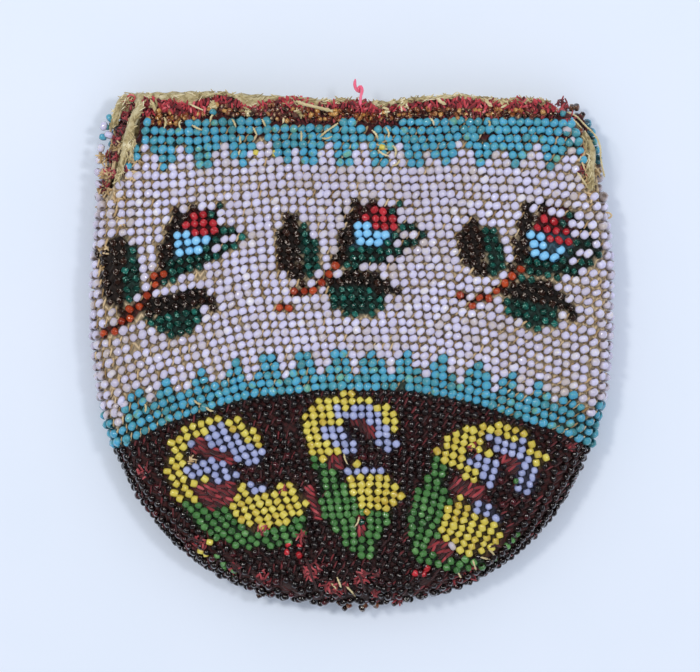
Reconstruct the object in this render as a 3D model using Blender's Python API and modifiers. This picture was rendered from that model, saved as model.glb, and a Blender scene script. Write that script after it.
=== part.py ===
"""A bead-knitted pouch that lies on its back, empty and flat, with its mouth towards +Y.

The pouch is knitted in the round with a glass bead on each stitch and closed at its round bottom. Both
sides are slit at the mouth, a cloth lining hangs inside, and a cream tape binds the mouth and the slits.
The beads are drawn as on a beadworker's chart, on a flat plan in millimetres: columns run across it and
rows run down it. Each field of beads is filled, cut and ribbed on that plan, and then laid on the pouch.
"""

import math

import bmesh
import bpy
import numpy as np

MM = 0.001

# Counts and pitches of the bead chart. Sizes below are in millimetres.
COLUMNS = 58
ROWS = 68
COLUMN_PITCH = 2.14
ROW_PITCH = 1.78
BARE_EDGE = 1.7

# Form of the pouch
FOLD_RADIUS = 4.2
CROWN = 0.9
BELLY_DEPTH = 46.0
MOUTH_TAPER = 5.2
SHOULDER = 5.2
SHOULDER_DEPTH = 4.5
BOTTOM_SQUARENESS = (2.5, 2.3)
ROW_DROOP = 16.6
DROOP_POWER = 1.5
CLOSING_DEPTH = 8.0

# Slits in the sides, with how far each front edge has drawn back from its fold at shares of the slit's depth
SLIT_DEPTH = 23.4
SLIT_SHARES = (0.0, 0.35, 0.6, 0.8, 0.94, 1.0)
LEFT_DRAW = (5.0, 8.2, 7.2, 5.3, 2.6, 0.0)
RIGHT_DRAW = (6.4, 4.8, 4.6, 5.2, 3.4, 0.0)

# Layers, from the outside in
BEAD_CREST = 1.6
BEAD_GROOVE = 0.75
KNIT_THICKNESS = 0.6
LINING_THICKNESS = 0.5
BINDING_THICKNESS = 0.5
CLEARANCE = 0.3
SEAM_GAP = 1.0

# Bands of the chart, in rows, with pointed teeth between turquoise and white
BROWN_ROWS = 2.0
UPPER_TURQUOISE_ROWS = 2.6
LOWER_TURQUOISE_ROWS = 2.0
TOOTH_ROWS = 2.4
TOOTH_COLUMNS = 4.0
TOOTH_WOBBLE = 0.2
GARNET_START = 39.0
UPPER_TOOTH_SHIFT = 2.0
LOWER_TOOTH_SHIFT = -1.5

# Ribs of the back, pressed flat
BACK_CREST_SHARE = 0.3
BACK_ROWS_PER_RIB = 2

# Placing of the ornaments, in columns
SPRIG_SPACING = 20.0
SCROLL_SPACING = 17.5

# The binding tape
BINDING_OVERHANG = 1.5
BINDING_COVER = 1.4
SCALLOP = 0.5
SCALLOP_SPACING = 9.0
TAPER_START = 16.4

# A rosebud sprig on the chart, as (column, row) from its own middle column and the tips of the upper teeth
SPRIG = {
    "leaf_dark": ((-7, 8.2), (-5.9, 11), (-5.9, 15), (-5.6, 16.6), (-7.4, 16), (-8.6, 14.4), (-8.6, 11)),
    "leaf_teal": ((-6.4, 9.2), (-3.9, 11.2), (-3.6, 14.8), (-5.2, 16.6), (-5.7, 15), (-5.7, 11)),
    "sepal": ((-0.9, 6.4), (1.2, 6.2), (0.6, 9.2), (0.1, 12), (-0.1, 13.6), (-1.6, 15), (-2, 13)),
    "bud_red": ((1.5, 6.8), (4.2, 6.5), (5.1, 8), (4.6, 10), (0.7, 10)),
    "bud_blue": ((0.6, 10), (4.6, 10), (4.3, 12.6), (0.2, 12.6)),
    "calyx": ((0.1, 12.8), (4.1, 12.7), (6.4, 9.2), (7.8, 10.4), (6, 13.4), (3.4, 14.9), (-0.6, 14.8)),
    "low_leaf_dark": ((-2.9, 18.2), (-1.6, 16.8), (2.8, 16.5), (5.6, 19), (1, 18.6)),
    "low_leaf_teal": ((-2.9, 18.6), (1, 18.8), (3.6, 19.2), (2, 21.1), (-1.4, 21)),
}
STEM = ((-1.6, 14.9), (-3.2, 16.6), (-5.2, 18.4), (-8.2, 20.2))
STEM_WIDTH = 0.9

# A scroll on the chart, as (column, row) from its own middle column and the start of the garnet
ARM = ((-3.6, 10), (-5.1, 8.4), (-5.6, 6), (-4.8, 4), (-3, 2.6), (-0.5, 1.9), (2, 2.2), (4, 3.5), (5.1, 5.8))
ARM_WIDTH = 1.8
SCROLL = {
    "lilac": (
        (-3.9, 6.6), (-2.9, 4.4), (-0.8, 3.4), (1.6, 3.5), (3.4, 5), (4.4, 7.8), (3, 8.4),
        (1.4, 5.6), (-0.4, 5), (-1.2, 6.2), (1, 8), (0.4, 9.2), (-3, 8.2),
    ),
    "lobe": (
        (-1.5, 12), (0.7, 11.4), (3.4, 11.6), (6.2, 12.6), (7.5, 14.6), (6, 16.8), (1, 17.3), (-1.9, 15.4),
    ),
}
FOOT = ((-5.6, 11.2), (-5.6, 13.6), (-4.8, 16.4), (-2.6, 18.8), (0.6, 20), (3.8, 19.6), (6.6, 18))
FOOT_WIDTH = 2.0
BARE_PATCH = ((-3.4, 11), (-0.6, 9.9), (2.6, 10.2), (0, 10.9), (-2, 12.2))

# Colours, roughness of the finish
COLOURS = {
    "crimson_knit": ((0.45, 0.05, 0.07), 0.9),
    "cream_lining": ((0.55, 0.47, 0.3), 0.85),
    "cream_tape": ((0.6, 0.52, 0.32), 0.75),
    "brown_beads": ((0.07, 0.025, 0.015), 0.2),
    "turquoise_beads": ((0.06, 0.45, 0.6), 0.25),
    "white_beads": ((0.62, 0.57, 0.7), 0.2),
    "garnet_beads": ((0.03, 0.008, 0.01), 0.15),
    "dark_leaf_beads": ((0.03, 0.02, 0.015), 0.15),
    "teal_beads": ((0.01, 0.13, 0.08), 0.15),
    "red_beads": ((0.62, 0.03, 0.04), 0.15),
    "light_blue_beads": ((0.2, 0.56, 0.95), 0.25),
    "rust_beads": ((0.38, 0.05, 0.02), 0.2),
    "yellow_beads": ((0.72, 0.62, 0.1), 0.25),
    "lilac_beads": ((0.4, 0.43, 0.72), 0.25),
    "green_beads": ((0.08, 0.32, 0.07), 0.2),
}

FRONT = 1
BACK = -1
LEFT = -1
RIGHT = 1

# Sizes that follow from the ones above
UPPER_NOTCH = BROWN_ROWS + UPPER_TURQUOISE_ROWS
UPPER_TIP = UPPER_NOTCH + TOOTH_ROWS
LOWER_NOTCH = GARNET_START - LOWER_TURQUOISE_ROWS
LOWER_TIP = LOWER_NOTCH - TOOTH_ROWS
LENGTH = BARE_EDGE + ROWS * ROW_PITCH
HALF_WIDTH = COLUMNS * COLUMN_PITCH / 2
FOLD_ARC = math.pi / 2 * FOLD_RADIUS
PLAN_ARC = FOLD_ARC * HALF_WIDTH / (HALF_WIDTH - FOLD_RADIUS + FOLD_ARC)
PLAN_FLAT = HALF_WIDTH - PLAN_ARC
BEAD_BASE = CLEARANCE
BEAD_TOP = BEAD_BASE + BEAD_CREST
BEAD_VALLEY = BEAD_TOP - BEAD_GROOVE
INNER_LIFT = -(KNIT_THICKNESS + CLEARANCE)
MIDDLE = BEAD_TOP + FOLD_RADIUS
UNDERLAP = PLAN_ARC / 2
PLATE_HALF = HALF_WIDTH - UNDERLAP - SEAM_GAP
GARNET_DEPTH = BARE_EDGE + GARNET_START * ROW_PITCH
WRAPPED_HALF = HALF_WIDTH + UNDERLAP
SLIT_FOOT = SLIT_DEPTH * SLIT_SHARES[-2]
LINING_TOP = BINDING_COVER + CLEARANCE
TOE = 0.12

# Facet lines that all layers share, so that their facets lie parallel: distances from the middle, and depths
PANEL_COLUMNS = (0.0, 0.45 * HALF_WIDTH, PLAN_FLAT, HALF_WIDTH - PLAN_ARC / 2, HALF_WIDTH)
STEPS_BELOW = 9
SLIT_LINES = (0.0, LINING_TOP, SHOULDER_DEPTH, *(SLIT_DEPTH * share for share in SLIT_SHARES[1:-1]))
BELOW_SLITS = LENGTH - SLIT_DEPTH
QUARTERS = tuple(math.pi / 2 * step / STEPS_BELOW for step in range(STEPS_BELOW + 1))
LOWER_LINES = tuple(SLIT_DEPTH + BELOW_SLITS * math.sin(angle) for angle in QUARTERS)
SHARED_LINES = SLIT_LINES + LOWER_LINES

# Shortest edge that a cut may leave on a slab of beads
SHORTEST_EDGE = 0.05


def depth_of(row):
    """Depth below the mouth of a row of the chart."""
    return BARE_EDGE + row * ROW_PITCH


def side_line(depth):
    """Half width of the knitted pouch at a depth below the mouth."""
    above = np.clip(1 - depth / BELLY_DEPTH, 0, None)
    shoulder = SHOULDER * np.exp(-np.maximum(depth, 0) / SHOULDER_DEPTH)
    upper = HALF_WIDTH - MOUTH_TAPER * np.minimum(above, 1) ** 1.3 - shoulder
    below = np.clip((depth - BELLY_DEPTH) / (LENGTH - BELLY_DEPTH), 0, 1)
    square, root = BOTTOM_SQUARENESS
    return upper * (1 - below ** square) ** (1 / root)


def droop(x, depth):
    """How far the row at a depth has dropped at a distance x from the middle."""
    return ROW_DROOP * (np.maximum(depth, 0) / GARNET_DEPTH) ** DROOP_POWER * (x / HALF_WIDTH) ** 2


def row_half_width(depth):
    """Half width of a drooping row, found where it meets the side line."""
    low = np.zeros_like(depth)
    high = np.full_like(depth, HALF_WIDTH)
    for _ in range(40):
        middle = (low + high) / 2
        inside = middle < side_line(depth + droop(middle, depth))
        low = np.where(inside, middle, low)
        high = np.where(inside, high, middle)
    return (low + high) / 2


def fold_radius(depth):
    """Radius of the side folds, which close up at the round bottom."""
    share = np.clip((depth - LENGTH + CLOSING_DEPTH) / CLOSING_DEPTH, 0, 1)
    return FOLD_RADIUS * np.sqrt(1 - share ** 2)


def slit_edge(side, hand, inset):
    """Depths and reaches from the middle down a panel's edge beside a slit, on the plan's left or right."""
    draws = [0.0] * len(SLIT_SHARES)
    if side == FRONT:
        draws = LEFT_DRAW if hand == LEFT else RIGHT_DRAW
    edge = [(SLIT_DEPTH * share, HALF_WIDTH - inset - draw) for share, draw in zip(SLIT_SHARES, draws)]
    return [*edge[:-1], (SLIT_DEPTH, HALF_WIDTH)]


def base_point(across, depth, side):
    """Point of the knitted surface, in millimetres, for a place on the plan."""
    depth = np.minimum(depth, LENGTH)
    end = row_half_width(depth)
    radius = np.maximum(fold_radius(depth), 1e-6)
    flat = end - radius
    arc = radius * math.pi / 2
    away = np.abs(across)
    along = np.where(away < PLAN_FLAT, away * flat / PLAN_FLAT, flat + (away - PLAN_FLAT) * arc / PLAN_ARC)
    angle = np.clip((along - flat) / radius, 0, math.pi)
    back_again = np.maximum(along - flat - math.pi * radius, 0)
    x = np.minimum(along, flat) + radius * np.sin(angle) - back_again
    facing_up = np.maximum(side * np.cos(angle), 0)
    crown = CROWN * facing_up * np.clip(1 - (x / np.maximum(end, 1e-6)) ** 2, 0, 1)
    z = MIDDLE + side * radius * np.cos(angle) + crown
    return np.stack([side * np.sign(across) * x, -depth - droop(x, depth), z], axis=-1)


def laid(across, depth, lift, side):
    """Point at a height over the knitted surface, in millimetres."""
    step = 0.02
    at_toe = depth > LENGTH - TOE / 2
    inner = np.minimum(depth, LENGTH - TOE / 2)
    run = base_point(across + step, inner, side) - base_point(across - step, inner, side)
    fall = base_point(across, inner - step, side) - base_point(across, inner + step, side)
    normal = np.cross(run, fall)
    normal /= np.linalg.norm(normal, axis=-1, keepdims=True)
    normal[at_toe] = (0.0, -1.0, 0.0)
    return base_point(across, depth, side) + normal * np.asarray(lift)[..., None]


def clear_scene():
    for item in list(bpy.data.objects):
        bpy.data.objects.remove(item, do_unlink=True)


def collection(name):
    group = bpy.data.collections.new(name)
    bpy.context.scene.collection.children.link(group)
    return group


def material(name):
    """Principled material of one of the pouch's finishes."""
    found = bpy.data.materials.get(name)
    if found:
        return found
    colour, roughness = COLOURS[name]
    made = bpy.data.materials.new(name)
    made.use_nodes = True
    shader = made.node_tree.nodes["Principled BSDF"]
    shader.inputs["Base Color"].default_value = (*colour, 1.0)
    shader.inputs["Roughness"].default_value = roughness
    shader.inputs["Metallic"].default_value = 0.0
    return made


def corner_offsets(points, distance, closed):
    """The points moved sideways by a distance, to the right of their direction, with mitred corners."""
    points = np.asarray(points, dtype=float)
    after = np.roll(points, -1, axis=0) - points
    before = points - np.roll(points, 1, axis=0)
    if not closed:
        after[-1] = before[-1]
        before[0] = after[0]
    after /= np.linalg.norm(after, axis=1, keepdims=True)
    before /= np.linalg.norm(before, axis=1, keepdims=True)
    normals = np.stack([after[:, 1] + before[:, 1], -after[:, 0] - before[:, 0]], axis=1)
    normals /= np.linalg.norm(normals, axis=1, keepdims=True)
    stretch = np.maximum(normals[:, 0] * after[:, 1] - normals[:, 1] * after[:, 0], 0.5)
    return points + normals * (distance / stretch)[:, None]


def grown(outline, margin):
    """The outline with its edge moved outwards."""
    points = np.asarray(outline, dtype=float)
    ahead = np.roll(points, -1, axis=0)
    turning = np.sum(points[:, 0] * ahead[:, 1] - points[:, 1] * ahead[:, 0])
    return corner_offsets(points, margin * np.sign(turning), True)


def stroke(points, width):
    """Outline of a band of a width along a line."""
    right = corner_offsets(points, width / 2, False)
    left = corner_offsets(points, -width / 2, False)
    return np.concatenate([right, left[::-1]])


def chart(points, column, start_row):
    """Places on the plan for (column, row) points of an ornament of the chart."""
    return [((column + across) * COLUMN_PITCH, -depth_of(start_row + row)) for across, row in points]


def zigzag(notch, tip, shift, reach):
    """Edge of pointed teeth across the plan, from left to right, a little uneven as hand work is."""
    points = []
    pitch = TOOTH_COLUMNS * COLUMN_PITCH
    count = math.ceil(reach / pitch) + 1
    for tooth in range(-count, count + 1):
        middle = tooth * pitch + shift
        wobble = TOOTH_WOBBLE * math.sin(2.4 * tooth)
        points += [(middle, -depth_of(tip + wobble)), (middle + pitch / 2, -depth_of(notch - wobble))]
    kept = [point for point in points if abs(point[0]) < reach - CLEARANCE]
    first = (-reach, kept[0][1])
    last = (reach, kept[-1][1])
    return [first, *kept, last]


def flat_slab(name, outline, low, high, group):
    """Filled outline on the plan between two heights, as a mesh object."""
    curve = bpy.data.curves.new(name, "CURVE")
    curve.dimensions = "2D"
    curve.fill_mode = "BOTH"
    curve.extrude = (high - low) / 2
    line = curve.splines.new("POLY")
    line.points.add(len(outline) - 1)
    for point, (across, along) in zip(line.points, outline):
        point.co = (across, along, 0.0, 1.0)
    line.use_cyclic_u = True
    drawn = bpy.data.objects.new(name + "_outline", curve)
    drawn.location.z = (low + high) / 2
    group.objects.link(drawn)
    seen = drawn.evaluated_get(bpy.context.evaluated_depsgraph_get())
    mesh = bpy.data.meshes.new_from_object(seen)
    mesh.transform(seen.matrix_world)
    bpy.data.objects.remove(drawn, do_unlink=True)
    form = bmesh.new()
    form.from_mesh(mesh)
    bmesh.ops.remove_doubles(form, verts=form.verts, dist=0.0001)
    bmesh.ops.dissolve_limit(form, angle_limit=0.01, verts=form.verts, edges=form.edges)
    bmesh.ops.recalc_face_normals(form, faces=form.faces)
    form.to_mesh(mesh)
    form.free()
    slab = bpy.data.objects.new(name, mesh)
    group.objects.link(slab)
    return slab


def cut_away(slab, outlines, cutters):
    """Cut the outlines out of a slab, each grown by the clearance as the laid plan will have it."""
    for count, outline in enumerate(outlines):
        lowest = np.array([-min(along for _, along in outline)])
        margin = CLEARANCE * HALF_WIDTH / row_half_width(lowest)[0]
        name = f"{slab.name}_cutter_{count}"
        low = BEAD_BASE - BEAD_CREST
        high = BEAD_TOP + BEAD_CREST
        cutter = flat_slab(name, grown(outline, margin), low, high, cutters)
        cutter.hide_render = True
        cutter.display_type = "WIRE"
        cut = slab.modifiers.new("cut", "BOOLEAN")
        cut.operation = "DIFFERENCE"
        cut.object = cutter
    if slab.modifiers:
        seen = slab.evaluated_get(bpy.context.evaluated_depsgraph_get())
        whole = bpy.data.meshes.new_from_object(seen)
        slab.modifiers.clear()
        slab.data = whole
        drop_scraps(slab)


def drop_scraps(slab):
    """Keep the largest body of a slab and drop the scraps that the cuts leave between two fields."""
    form = bmesh.new()
    form.from_mesh(slab.data)
    waiting = set(form.faces)
    bodies = []
    while waiting:
        body = set()
        reached = [waiting.pop()]
        while reached:
            face = reached.pop()
            body.add(face)
            beside = {other for edge in face.edges for other in edge.link_faces} & waiting
            waiting -= beside
            reached += beside
        bodies.append(body)
    largest = max(bodies, key=lambda body: sum(face.calc_area() for face in body))
    scraps = [face for body in bodies if body is not largest for face in body]
    bmesh.ops.delete(form, geom=scraps, context="FACES")
    form.to_mesh(slab.data)
    form.free()


def slice_faces(form, faces, place, direction):
    """Cut the given faces along a plane and keep both halves."""
    edges = {edge for face in faces for edge in face.edges}
    verts = {vert for face in faces for vert in face.verts}
    bmesh.ops.bisect_plane(
        form, geom=[*faces, *edges, *verts], plane_co=place, plane_no=direction, dist=0.00001
    )


def rib_height(along, rib_pitch, crest_share):
    """Height of the ribbed top at a place down the plan, from the crests to the grooves between the ribs."""
    phase = ((-along - BARE_EDGE) / rib_pitch) % 1.0
    slope = (abs(phase - 0.5) * 2 - crest_share) / (1 - crest_share)
    return BEAD_TOP - BEAD_GROOVE * min(max(slope, 0.0), 1.0)


def cut_facets(form, row_depths):
    """Cut a slab along the shared facet lines, and its top along rows instead of the cross lines."""
    bmesh.ops.triangulate(form, faces=form.faces)
    columns = sorted({sign * across for across in PANEL_COLUMNS for sign in (LEFT, RIGHT)})
    for across in columns:
        slice_faces(form, form.faces, (across, 0, 0), (1, 0, 0))
    for depth in SHARED_LINES:
        plain = [face for face in form.faces if not row_depths or face.normal.z < 0.5]
        slice_faces(form, plain, (0, -depth, 0), (0, 1, 0))
    for depth in row_depths:
        slice_faces(form, [face for face in form.faces if face.normal.z > 0.5], (0, -depth, 0), (0, 1, 0))
    for edge in form.edges:
        start, end = (vert.co for vert in edge.verts)
        on_column = any(abs(start.x - across) + abs(end.x - across) < 0.001 for across in columns)
        on_line = any(abs(start.y + depth) + abs(end.y + depth) < 0.001 for depth in SHARED_LINES)
        edge.seam = on_column or (on_line and start.z + end.z < BEAD_BASE + BEAD_TOP)


def rib(slab, side):
    """Cut a slab along the rows and draw the grooves in between: sharp in front, pressed flat behind."""
    rows_per_rib = 1 if side == FRONT else BACK_ROWS_PER_RIB
    crest_share = 0.0 if side == FRONT else BACK_CREST_SHARE
    shares = sorted({0.0, (1 - crest_share) / 2, (1 + crest_share) / 2})
    low = -min(vert.co.y for vert in slab.data.vertices)
    high = -max(vert.co.y for vert in slab.data.vertices)
    first_rows = range(0, ROWS + 1, rows_per_rib)
    depths = [depth_of(row + share * rows_per_rib) for row in first_rows for share in shares]
    form = bmesh.new()
    form.from_mesh(slab.data)
    cut_facets(form, [depth for depth in depths if high + CLEARANCE < depth < low - CLEARANCE])
    for vert in form.verts:
        if vert.co.z > BEAD_VALLEY:
            vert.co.z = rib_height(vert.co.y, rows_per_rib * ROW_PITCH, crest_share)
    bmesh.ops.dissolve_degenerate(form, dist=SHORTEST_EDGE, edges=form.edges)
    form.normal_update()
    bmesh.ops.dissolve_limit(form, angle_limit=0.002, verts=form.verts, edges=form.edges, delimit={"SEAM"})
    bmesh.ops.triangulate(form, faces=form.faces)
    form.to_mesh(slab.data)
    form.free()


def lay_down(slab, side):
    """Lay a finished slab on the front or the back of the pouch, in metres."""
    mesh = slab.data
    places = np.empty(len(mesh.vertices) * 3)
    mesh.vertices.foreach_get("co", places)
    places = places.reshape(-1, 3)
    points = laid(places[:, 0], -places[:, 1], places[:, 2], side) * MM
    mesh.vertices.foreach_set("co", points.ravel())
    form = bmesh.new()
    form.from_mesh(mesh)
    bmesh.ops.recalc_face_normals(form, faces=form.faces)
    form.to_mesh(mesh)
    form.free()
    mesh.update()


def bead_field(name, outline, finish, side, group, cutters, cut_by=()):
    """A field of beads of one colour."""
    slab = flat_slab(name, outline, BEAD_BASE, BEAD_TOP, group)
    cut_away(slab, cut_by, cutters)
    rib(slab, side)
    lay_down(slab, side)
    slab.data.materials.clear()
    slab.data.materials.append(material(finish))
    return slab


def cut_slit(form, edge, hand):
    """Cut a panel on the plan away beyond its edge beside a slit."""
    for (upper, upper_reach), (lower, lower_reach) in zip(edge, edge[1:]):
        beside = [
            face
            for face in form.faces
            if hand * face.calc_center_median().x > 0 and upper < -face.calc_center_median().y < lower
        ]
        edges = {line for face in beside for line in face.edges}
        verts = {vert for face in beside for vert in face.verts}
        outward = (lower - upper, hand * (lower_reach - upper_reach))
        bmesh.ops.bisect_plane(
            form,
            geom=[*beside, *edges, *verts],
            plane_co=(hand * upper_reach, -upper, 0),
            plane_no=(hand * outward[0], hand * outward[1], 0),
            dist=0.00001,
            clear_outer=True,
        )


def panel(side, top, inset):
    """Front or back panel of a sheet, flat on the plan."""
    columns = sorted({sign * across for across in PANEL_COLUMNS for sign in (LEFT, RIGHT)})
    lines = [depth for depth in SHARED_LINES if depth >= top]
    form = bmesh.new()
    made = bmesh.ops.create_grid(form, x_segments=len(columns) - 1, y_segments=len(lines) - 1, size=1.0)
    for vert in made["verts"]:
        column = round((vert.co.x + 1) / 2 * (len(columns) - 1))
        line = round((1 - vert.co.y) / 2 * (len(lines) - 1))
        vert.co = (columns[column], -lines[line], 0.0)
    for hand in (LEFT, RIGHT):
        cut_slit(form, slit_edge(side, hand, inset), hand)
    return form


def pouch_sheet(name, lift, thickness, top, inset, finish, group):
    """A pouch of sheet, open at the mouth and the slits, from a front and a back panel."""
    whole = bmesh.new()
    for side in (FRONT, BACK):
        form = panel(side, top, inset)
        places = np.array([vert.co for vert in form.verts])
        points = laid(places[:, 0], -places[:, 1], np.full(len(places), lift), side) * MM
        for vert, point in zip(form.verts, points):
            vert.co = point
        half = bpy.data.meshes.new(name)
        form.to_mesh(half)
        form.free()
        whole.from_mesh(half)
        bpy.data.meshes.remove(half)
    bmesh.ops.remove_doubles(whole, verts=whole.verts, dist=0.000005)
    bmesh.ops.recalc_face_normals(whole, faces=whole.faces)
    bmesh.ops.triangulate(whole, faces=whole.faces)
    mesh = bpy.data.meshes.new(name)
    whole.to_mesh(mesh)
    whole.free()
    mesh.materials.append(material(finish))
    mesh.shade_smooth()
    sheet = bpy.data.objects.new(name, mesh)
    group.objects.link(sheet)
    wall = sheet.modifiers.new("wall", "SOLIDIFY")
    wall.thickness = thickness * MM
    wall.offset = -1.0
    return sheet


def tape_side(side, hand):
    """Outer and inner edge of the tape beside a slit, from the mouth down."""
    foot = SLIT_FOOT - 1.5 * CLEARANCE
    knit = slit_edge(side, hand, 0.0)
    outer = []
    inner = []
    for depth in sorted({*(depth for depth, _ in knit[1:-2]), TAPER_START, foot}):
        reach = np.interp(depth, *zip(*knit))
        taper = max(depth - TAPER_START, 0.0) / (foot - TAPER_START)
        outer.append((hand * (reach + BINDING_OVERHANG * (1 - taper) - CLEARANCE * taper), -depth))
        inner.append((hand * (reach - BINDING_COVER), -depth))
    return outer, [(hand * (knit[0][1] - BINDING_COVER), -BINDING_COVER), *inner]


def binding_outline(side):
    """Tape along a panel's mouth edge, in scallops, and down both of its slit edges."""
    left_outer, left_inner = tape_side(side, LEFT)
    right_outer, right_inner = tape_side(side, RIGHT)
    left = -slit_edge(side, LEFT, 0.0)[0][1] - BINDING_OVERHANG
    right = slit_edge(side, RIGHT, 0.0)[0][1] + BINDING_OVERHANG
    scallops = round((right - left) / SCALLOP_SPACING)
    steps = 2
    mouth = []
    for step in range(scallops * steps + 1):
        share = step / (scallops * steps)
        wave = abs(math.sin(math.pi * scallops * share))
        mouth.append((left + (right - left) * share, BINDING_OVERHANG - SCALLOP + 2 * SCALLOP * wave))
    return left_outer[::-1] + mouth + right_outer + right_inner[::-1] + left_inner


def binding(name, side, group):
    """The tape that binds one panel, inside the knitting and beside the lining."""
    slab = flat_slab(name, binding_outline(side), INNER_LIFT - BINDING_THICKNESS, INNER_LIFT, group)
    form = bmesh.new()
    form.from_mesh(slab.data)
    cut_facets(form, ())
    bmesh.ops.dissolve_limit(form, angle_limit=0.002, verts=form.verts, edges=form.edges, delimit={"SEAM"})
    bmesh.ops.triangulate(form, faces=form.faces)
    form.to_mesh(slab.data)
    form.free()
    lay_down(slab, side)
    slab.data.materials.clear()
    slab.data.materials.append(material("cream_tape"))
    return slab


def straight(row, reach):
    """Straight edge along a row, from left to right."""
    return [(-reach, -depth_of(row)), (reach, -depth_of(row))]


def toe_edge(reach):
    """Lower edge of the beads, close to the toe."""
    return [(-reach, -(LENGTH - TOE)), (0.0, -(LENGTH - TOE)), (reach, -(LENGTH - TOE))]


def shifted(edge, distance):
    """An edge moved down the plan."""
    return [(across, along - distance) for across, along in edge]


def band_outline(top, bottom):
    """Closed outline of a band between two edges, with half the clearance at each."""
    return shifted(top, CLEARANCE / 2) + shifted(bottom, -CLEARANCE / 2)[::-1]


def slit_outline(hand):
    """Area of the plan that the front lacks beside a slit."""
    beyond = hand * (WRAPPED_HALF + SHOULDER)
    edge = slit_edge(FRONT, hand, 0.0)
    above = [(beyond, SHOULDER), (hand * edge[0][1], SHOULDER)]
    return above + [(hand * reach, -depth) for depth, reach in edge] + [(beyond, -SLIT_DEPTH)]


def front_bands(group, cutters, sprig_cuts, scroll_cuts):
    """The five bands of the front, which wrap under the folds below the slits."""
    slits = [slit_outline(LEFT), slit_outline(RIGHT)]
    upper_teeth = zigzag(UPPER_NOTCH, UPPER_TIP, UPPER_TOOTH_SHIFT, WRAPPED_HALF)
    lower_teeth = zigzag(LOWER_NOTCH, LOWER_TIP, LOWER_TOOTH_SHIFT, WRAPPED_HALF)
    rows = {
        "brown": (straight(0, WRAPPED_HALF), straight(BROWN_ROWS, WRAPPED_HALF), slits),
        "upper_turquoise": (straight(BROWN_ROWS, WRAPPED_HALF), upper_teeth, slits),
        "white": (upper_teeth, lower_teeth, slits + sprig_cuts),
        "lower_turquoise": (lower_teeth, straight(GARNET_START, WRAPPED_HALF), ()),
        "garnet": (straight(GARNET_START, WRAPPED_HALF), toe_edge(WRAPPED_HALF), scroll_cuts),
    }
    for name, (top, bottom, cuts) in rows.items():
        finish = name.split("_")[-1] + "_beads"
        bead_field(f"front_{name}_beads", band_outline(top, bottom), finish, FRONT, group, cutters, cuts)


def back_bands(group, cutters):
    """The same five bands on the flat of the back."""
    upper_teeth = zigzag(UPPER_NOTCH, UPPER_TIP, 0.0, PLATE_HALF)
    lower_teeth = zigzag(LOWER_NOTCH, LOWER_TIP, 0.0, PLATE_HALF)
    rows = {
        "brown": (straight(0, PLATE_HALF), straight(BROWN_ROWS, PLATE_HALF)),
        "upper_turquoise": (straight(BROWN_ROWS, PLATE_HALF), upper_teeth),
        "white": (upper_teeth, lower_teeth),
        "lower_turquoise": (lower_teeth, straight(GARNET_START, PLATE_HALF)),
        "garnet": (straight(GARNET_START, PLATE_HALF), toe_edge(PLATE_HALF)),
    }
    for name, (top, bottom) in rows.items():
        finish = name.split("_")[-1] + "_beads"
        bead_field(f"back_{name}_beads", band_outline(top, bottom), finish, BACK, group, cutters)


def fold_strips(group, cutters):
    """Beads on the back panel's edges beside the slits, where the front has drawn back."""
    near = PLATE_HALF + CLEARANCE
    far = HALF_WIDTH - 2 * CLEARANCE
    middle = (UPPER_NOTCH + UPPER_TIP) / 2
    foot_row = (SLIT_DEPTH - CLEARANCE - BARE_EDGE) / ROW_PITCH
    for hand, sign in (("left", 1), ("right", -1)):
        for finish, first, last in (("turquoise", BROWN_ROWS, middle), ("white", middle, foot_row)):
            top = sorted([(sign * near, -depth_of(first)), (sign * far, -depth_of(first))])
            bottom = sorted([(sign * near, -depth_of(last)), (sign * far, -depth_of(last))])
            name = f"{hand}_fold_{finish}_beads"
            bead_field(name, band_outline(top, bottom), f"{finish}_beads", BACK, group, cutters)


def ornament(name, shapes, group, cutters):
    """The colour fields of one ornament, each cut clear of the fields before it."""
    done = []
    for part, (outline, finish) in shapes.items():
        bead_field(f"{name}_{part}", outline, finish, FRONT, group, cutters, done)
        done.append(outline)
    return done


def sprig(hand, column, group, cutters):
    """A rosebud with its stem and two leaves."""
    finishes = {
        "leaf_dark": "dark_leaf_beads",
        "leaf_teal": "teal_beads",
        "sepal": "dark_leaf_beads",
        "bud_red": "red_beads",
        "bud_blue": "light_blue_beads",
        "calyx": "teal_beads",
        "low_leaf_dark": "dark_leaf_beads",
        "low_leaf_teal": "teal_beads",
    }
    shapes = {part: (chart(SPRIG[part], column, UPPER_TIP), finish) for part, finish in finishes.items()}
    shapes["stem"] = (stroke(chart(STEM, column, UPPER_TIP), STEM_WIDTH * COLUMN_PITCH), "rust_beads")
    return ornament(f"{hand}_sprig", shapes, group, cutters)


def scroll(hand, column, group, cutters):
    """A scroll of an arm, its lining, a lobe and a foot, with a patch that has lost its beads."""
    arm = stroke(chart(ARM, column, GARNET_START), ARM_WIDTH * COLUMN_PITCH)
    foot = stroke(chart(FOOT, column, GARNET_START), FOOT_WIDTH * COLUMN_PITCH)
    shapes = {
        "arm": (arm, "yellow_beads"),
        "lilac": (chart(SCROLL["lilac"], column, GARNET_START), "lilac_beads"),
        "lobe": (chart(SCROLL["lobe"], column, GARNET_START), "yellow_beads"),
        "foot": (foot, "green_beads"),
    }
    done = ornament(f"{hand}_scroll", shapes, group, cutters)
    return done + [chart(BARE_PATCH, column, GARNET_START)]


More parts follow.
